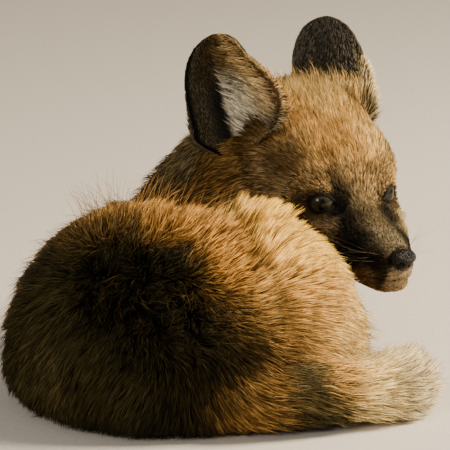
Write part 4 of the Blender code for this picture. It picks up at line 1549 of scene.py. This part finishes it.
# group, tufts, rings, lock size and share, axis, finish, slot
COAT = [
    ("face", 32000, 1, (1.9, 0.72), HEAD_AXIS, short_fur, "tawny_coat"),
    ("crown", 28000, 1, (2.6, 0.72), HEAD_AXIS, short_fur, "tawny_coat"),
    ("neck", 10500, 2, (3.2, 0.6), NECK_AXIS, fox_fur, "cream_coat"),
    ("back", 11500, 2, (3.6, 0.6), SPINE, fox_fur, "tawny_coat"),
    ("rump", 12500, 2, (3.4, 0.6), SPINE, fox_fur, "tawny_coat"),
    ("flank", 9000, 2, (4.0, 0.6), SPINE, fox_fur, "tawny_coat"),
    ("far_side", 9000, 2, (4.2, 0.6), SPINE, fox_fur, "tawny_coat"),
    ("haunch", 13500, 2, (3.6, 0.6), SPINE, fox_fur, "cream_coat"),
    ("tail", 7500, 2, (4.0, 0.55), TAIL_AXIS, fox_fur, "dark_coat"),
    ("feet", 8000, 1, (1.6, 0.3), FEET_AXIS, short_fur, "dark_coat"),
]
for number, (group, count, rings, locks, axis, finish, slot) in enumerate(COAT):
    hair = hair_on_skin((group,), count, 100 + number)
    grow("coat_" + group, hair, rings, locks, axis, finish, 200 + number)

# %% [markdown]
# ## Hair of the ears
# The back is short and lies flat. Inside, long pale hairs sweep over the hollow from its inner
# edge. A quarter of the hairs thicken the two edges, and those of the forward edge lie out over
# the crown.

# %% Ear hair
EAR_BRIM = {"right": 1.0, "left": 0.3}  # how far hair lies out over the forward edge
EDGE_SHARE = 0.25  # of all hairs
STEP = 0.02  # of share or lane, to feel which way the surface runs


def ear_roots(count, rng):
    """Random places on one side of the ear, and which of them thicken the edges. Fewer grow near
    the tip, where the ear is narrow."""
    share = rng.random(count * 2) ** 0.85 * 0.985
    share = share[rng.random(count * 2) < 0.2 + (1 - share**4) ** 0.55][:count]
    lane = rng.uniform(-1, 1, len(share))
    edge = rng.random(len(share)) < EDGE_SHARE
    lane = np.where(edge, np.sign(lane) * (1 - 0.04 * rng.random(len(share))), lane)
    return share, lane, edge


# %% Hair on both sides of the ear
def ear_hair(side, inside, count, seed):
    """Roots spread over share and lane. Hair lies towards the tip, and inside it also lies away
    from the inner edge."""
    rng = np.random.default_rng(seed)
    share, lane, edge = ear_roots(count, rng)
    forward = EAR_FORWARD[side]
    flat = lane * forward
    deep = EAR_BACK + (ear_wall(lane) if inside else 0 * lane)
    place, inward = ear_surface(side, share, lane, deep)
    up_the_ear = unit(ear_surface(side, np.minimum(share + STEP, 0.999), lane, deep)[0] - place)
    over_the_ear = unit(ear_surface(side, share, lane + STEP, deep)[0] - place)
    normal = inward if inside else -inward
    outwards = unit(over_the_ear * np.sign(lane)[:, None] + 0.4 * normal)
    brim = np.where(edge & (flat > 0), ease(0.74 - share, 0.0, 0.3), 0.0)  # hair that lies over the crown
    turned = unit(outwards * (1 - brim[:, None]) + normal * brim[:, None])
    normal = np.where(edge[:, None], turned, normal)
    strayed = share + rng.normal(0, 0.018, len(share))
    colours = ear_colours(strayed, lane, side, np.full(len(share), inside))
    rim = ease(np.abs(lane), 0.86, 1.0)
    if inside:
        pull = ease(flat, -0.35, 0.2)[:, None]
        ways = unit(up_the_ear * (1.0 - 0.5 * pull) - over_the_ear * forward * pull * 1.1)
        lengths = 2.6 + 8.5 * ease(flat, -0.2, 0.35) * (1 - 0.55 * ease(share, 0.5, 0.9)) - 2.0 * rim
        lifts = 16 + 12 * ease(flat, 0.0, 0.8)
        widths = 0.34 + 0.10 * ease(flat, 0.0, 0.5)
    else:
        at_edge = ease(flat, 0.75, 0.95)
        ways = unit(up_the_ear + over_the_ear * (0.4 * forward * at_edge)[:, None])
        lengths = 3.2 + 7.0 * ease(0.55 - share, 0.0, 0.3) + 1.6 * at_edge * ease(0.85 - share, 0, 0.2)
        lifts = 14.0 + 12 * rim + 10 * ease(0.5 - share, 0.0, 0.3)
        widths = np.full(len(share), 0.40)
    over_the_brim = unit(up_the_ear * (1 - 0.9 * brim[:, None]) + over_the_ear * forward * brim[:, None])
    on_brim = brim * rng.uniform(1.0, 6.0, len(share)) * EAR_BRIM[side]
    edge_lengths = 3.4 + 2.0 * ease(0.6 - share, 0, 0.4) + on_brim
    return dict(
        roots=place, normals=normal, ways=np.where(edge[:, None], over_the_brim, ways),
        lengths=np.where(edge, edge_lengths, lengths) * (1 - 0.6 * ease(share, 0.88, 1.0)),
        lifts=lifts * (1 - 0.6 * brim), widths=widths,
        root=colours[:, 0], tip=colours[:, 1], dark_share=np.full(len(share), 0.15),
    )


# %% [markdown]
# ## Locks in the ears
# A fox's ear is guarded by long locks, which keep dust out of it. They start along the inner edge
# and sweep over the hollow, up towards the tip.

# %% Ear locks
LOCK_DEEP = 2.6  # mm from the back, on top of the hollow's short hair


def ear_locks(side, count, seed):
    """Roots along the inner edge. Hair is longest low down and stands steepest at the edge."""
    rng = np.random.default_rng(seed)
    forward, deep = EAR_FORWARD[side], np.full(count, LOCK_DEEP)
    share = rng.uniform(0.06, 0.86, count)
    flat = rng.uniform(0.1, 0.98, count)
    place, inward = ear_surface(side, share, flat * forward, deep)
    ahead = unit(ear_surface(side, share + STEP, flat * forward, deep)[0] - place)
    beside = unit(ear_surface(side, share, (flat - STEP) * forward, deep)[0] - place)
    colours = ear_colours(share, flat * forward, side, np.ones(count, bool))
    return dict(
        roots=place, normals=inward, ways=unit(beside + ahead * (0.35 + 0.5 * share)[:, None]),
        lengths=15 - 7 * share, lifts=15 + 14 * flat, widths=np.full(count, 0.5),
        # tips 1.15 times brighter than their tone: painted light on locks that lie in the ear's shade
        root=colours[:, 0], tip=colours[:, 1] * 1.15, dark_share=np.full(count, 0.28),
    )


for side, (root, tip, _) in EAR_PLACES.items():
    root, tip = np.array(root, float), np.array(tip, float)
    axis = from_head([root, (root + tip) / 2, tip])
    locks = ear_locks(side, int(900 * THINNING), 340)
    grow(f"ear_{side}_locks", locks, 2, (2.6, 0.75), axis, fox_fur, 341)
    for inside, part, count in ((False, "back", 5200), (True, "inside", 4800)):
        hair = ear_hair(side, inside, int(count * THINNING), 300 + inside + 2 * (side == "left"))
        grow(f"ear_{side}_{part}_hair", hair, 1, (1.5, 0.5), axis, short_fur, 320 + inside)

# %% [markdown]
# ## Guard hairs
# Over the woolly down stand single long hairs. They are thickest along the top of the back, and a
# pale tuft of them stands up between the haunch and the head.


# %% Guard hairs
def guard_hair(low, high, count, length, lift, width, tip, seed):
    """Hairs on the skin between two body places, at random. Their tips take on some of their own
    colour."""
    rng = np.random.default_rng(seed)
    inside = ((square_middles > on_body(low)) & (square_middles < on_body(high))).all(axis=1)
    roots, normals = sampled(skin_faces[inside], square_areas[inside], count, rng)
    _, ways, _ = coat_at(roots, normals)
    root, skin_tip, _ = marks_with_painted_light(roots)
    same = np.ones(count)
    return dict(
        roots=roots, normals=normals, ways=ways, lengths=same * length, lifts=same * lift,
        widths=same * width, root=root, tip=skin_tip * 0.6 + linear(tip) * 0.4, dark_share=same * 0.25,
    )


GUARD = [  # name, box, count, length, lift, width, tip colour, lock size and share
    ("guard_back", (-100, -80, 82), (0, 10, 120), 240, 31, 64, 0.20, "#A87C3C", (5.0, 0.2)),
    ("guard_all", (-120, -120, 30), (40, 60, 100), 1800, 20, 50, 0.32, "#7A5A2C", (5.0, 0.2)),
    ("crest", (6, -72, 88), (37, -38, 120), 1300, 23, 64, 0.46, "#F0C468", (5.5, 0.75)),
    ("fuzz_haunch", (30, -100, 15), (85, -40, 100), 900, 14, 52, 0.22, "#F0D49C", (3.0, 0.2)),
    ("fuzz_tail", (66, -100, 0), (120, -35, 60), 800, 21, 46, 0.24, "#E0CC9C", (3.6, 0.3)),
    ("guard_crown", (30, 40, 130), (75, 85, 160), 160, 17, 62, 0.24, "#D8B070", (3.0, 0.1)),
]
for number, (name, low, high, count, length, lift, width, tip, locks) in enumerate(GUARD):
    hair = guard_hair(low, high, int(count * THINNING), length, lift, width, tip, 400 + number)
    axis = HEAD_AXIS if name == "guard_crown" else SPINE
    grow(name, hair, 2, locks, axis, fox_fur, 420 + number)

# %% [markdown]
# ## Whiskers
# A whisker is a thin stiff hair that bends a little under its own weight, so its path is a
# parabola. They stand in rows on the sides of the muzzle, and a few stand on the brows. They are
# round tubes, not spindles, because each one can be seen by itself.


# %% Tapered curves
def tapered(starts, ways, sag, lengths, radius, rings=9, sides=5, power=1.0):
    """Joined tubes. Path = start + way x + sag x^2 for x from 0 to the length, and radius =
    r (1 - x/length)^power. The first and last rings are points."""
    share = np.linspace(0, 1, rings)[:, None]
    path = starts[:, None] + ways[:, None] * (share * lengths[:, None, None])
    path = path + sag[:, None] * (share**2 * lengths[:, None, None])
    radii = np.tile(radius * (1 - share[:, 0]) ** power, (len(starts), 1))
    radii[:, [0, -1]] = POINTED
    firsts = (np.arange(len(starts)) * rings * sides)[:, None, None]
    return rings_across(path, radii, sides), (grid_faces(rings, sides, True)[None] + firsts).reshape(-1, 4)


# %% Whiskers
# keratin like the hair, but as thick as a bristle: smoother, shinier, and dark in parts of its length
whisker = patterned(
    "whisker", {"Roughness": 0.4, "Specular IOR Level": 0.4}, 0.09, [(0.45, "#2A241C"), (0.70, "#9C9078")],
    detail=2.0,
)
WHISKERS, BROW_WHISKERS = 8, 4  # on each side
WHISKER_RADIUS = 0.075
rng = np.random.default_rng(71)
starts, ways, sags, lengths = [], [], [], []
for sign in (1, -1):
    row = np.arange(WHISKERS)
    place, line = row % 5, row // 5  # five stand in the upper line, and the rest in the lower one
    start = np.stack([39 - 3.4 * place, sign * (9 + 1.6 * place), -20 - 2.6 * line], axis=1)
    way = np.stack([-0.25 + 0.09 * place, sign + 0.0 * place, 0.45 - 0.3 * line], axis=1)
    starts.append(start + rng.normal(0, 0.4, start.shape))
    ways.append(way + rng.normal(0, 0.22, way.shape))
    sags.append(np.tile((-0.35, 0.0, -0.12), (WHISKERS, 1)))
    lengths.append(rng.uniform(17, 30, WHISKERS))
    row = np.arange(BROW_WHISKERS)
    start = np.stack([2.0 - row, sign * (17 + 2.5 * row), 10.0 + 0.6 * row], axis=1)
    starts.append(start)
    ways.append((0.15, sign * 0.55, 0.8) + rng.normal(0, 0.12, start.shape))
    sags.append(np.tile((-0.3, 0.0, -0.1), (BROW_WHISKERS, 1)))
    lengths.append(rng.uniform(10, 16, BROW_WHISKERS))
starts = nearest_skin(from_head(np.vstack(starts)))
ways, sags = unit(np.vstack(ways) @ head_turn), np.vstack(sags) @ head_turn
points, faces = tapered(starts, ways, sags, np.concatenate(lengths), WHISKER_RADIUS)
merged(add_piece("whiskers", points, faces, whisker))

# %% [markdown]
# ## Claws
# A claw is a short curved cone of horn, and a fox can't draw it in. The middle toes are the
# longest, so their claws reach farthest. The whisker's curve serves again, short and thick.

# %% Claws
# horn: grown in fine layers, worn by the ground to a dull gloss, with grain of about a millimetre
claw_horn = patterned(
    "claw_horn", {"Roughness": 0.35, "Specular IOR Level": 0.5}, 0.9, [(0.3, "#3E352A"), (0.7, "#7C6E58")],
    detail=3.0, relief=(0.4, 0.0002),
)
CLAW_LENGTH, CLAW_RADIUS, CLAW_HEIGHT, CLAW_SAG = 6.0, 0.95, 4.6, (0, 0, -0.38)
CLAW_CLEAR = 0.3  # mm above the floor
starts, ways = [], []
for toe, ahead in foot_lines():
    beside = np.array((-ahead[1], ahead[0]))
    for step in np.arange(TOES) - (TOES - 1) / 2:
        starts.append((*(toe - ahead * (1.0 + step**2) + beside * TOE_PITCH * step), CLAW_HEIGHT))
        ways.append((*(ahead + beside * 0.08 * step), 0.10))
starts, ways, sags = np.array(starts), unit(np.array(ways)), np.tile(CLAW_SAG, (len(starts), 1))
lengths = np.full(len(starts), CLAW_LENGTH)
points, faces = tapered(starts, ways, sags, lengths, CLAW_RADIUS, sides=8, power=0.8)
points[:, 2] = np.maximum(points[:, 2], CLAW_CLEAR)
merged(add_piece("claws", points, faces, claw_horn))

# %% [markdown]
# ## Camera
# A long lens from two metres away draws an animal as the eye knows it, without a swollen nose.
# The camera looks down a little on the cub.

# %% Camera
CAMERA_RISE = math.radians(14)
CAMERA_FAR = 2.30  # metres
LENS = 368.0
aim = (cad_low + cad_high) / 2 + (cad_high - cad_low) * (0.0185, -0.1005, 0.0144)
camera = bpy.data.objects.new("camera", bpy.data.cameras.new("camera"))
bpy.context.scene.collection.objects.link(camera)
bpy.context.scene.camera = camera
camera.data.lens = LENS
camera.data.sensor_width = 36
camera.data.clip_start, camera.data.clip_end = 0.1, 50
camera.location = aim + CAMERA_FAR * np.array((0, -math.cos(CAMERA_RISE), math.sin(CAMERA_RISE)))
camera.rotation_euler = (math.pi / 2 - CAMERA_RISE, 0, 0)
print("the camera stands at", [round(value, 2) for value in camera.location])

# %% [markdown]
# ## Light
# A warm lamp, high on the right and a little behind, draws the edges of the fur. A wide weak one
# in front on the left puts a light in the eye, and a pale world fills the shadows.

# %% Light
LIT_HEIGHT = 0.08  # metres, the height on the cub that lamps face


def lamp(name, place, size, power, colour):
    """A square soft lamp that faces the middle of the cub."""
    made = bpy.data.objects.new(name, bpy.data.lights.new(name, "AREA"))
    bpy.context.scene.collection.objects.link(made)
    made.data.size = size
    made.data.energy = power
    made.data.color = linear(colour)
    made.location = place
    x, y, z = np.array((0.0, 0.0, LIT_HEIGHT)) - place
    made.rotation_euler = (math.atan2(math.hypot(x, y), -z), 0, math.atan2(-x, y))
    print(name, "is", size, "m wide and has", power, "W")


lamp("key_light", (1.02, 0.05, 0.88), 0.45, 44, "#FFEACC")
lamp("fill_light", (-0.62, -1.5, 0.8), 0.5, 13, "#FFF4E4")
world = bpy.data.worlds.new("studio")
bpy.context.scene.world = world
world.use_nodes = True
world.node_tree.nodes["Background"].inputs["Color"].default_value = rgba("#E2DCD2")
world.node_tree.nodes["Background"].inputs["Strength"].default_value = 0.30

# %% [markdown]
# ## Floor
# The cub lies on a wide sheet of pale matt paper, which shows its shadow and nothing else.

# %% Floor
# uncoated paper: pressed fibres, without any gloss, mottled by a few millimetres
paper = patterned(
    "pale_floor", {"Roughness": 0.9, "Specular IOR Level": 0.2}, 0.4, [(0.3, "#DAD5CC"), (0.7, "#E6E1D9")],
    detail=3.0,
)
FLOOR_HALF = 6000.0
floor_points = np.array([(-1, -1, 0), (1, -1, 0), (1, 1, 0), (-1, 1, 0)], float) * FLOOR_HALF
floor = bpy.data.objects.new("floor", mesh_from("floor", floor_points, np.array([[0, 1, 2, 3]])))
floor.data.materials.append(paper)
bpy.context.scene.collection.objects.link(floor)
floor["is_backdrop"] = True
print("the floor is", 2 * FLOOR_HALF * MM, "m wide")

# %% [markdown]
# ## Finish
# The two boxes are written down, so that the coat's size can be held against the solids'.

# %% Finish
low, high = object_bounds()
print("visual box in mm", (np.array(low) * 1000).round(1), (np.array(high) * 1000).round(1))
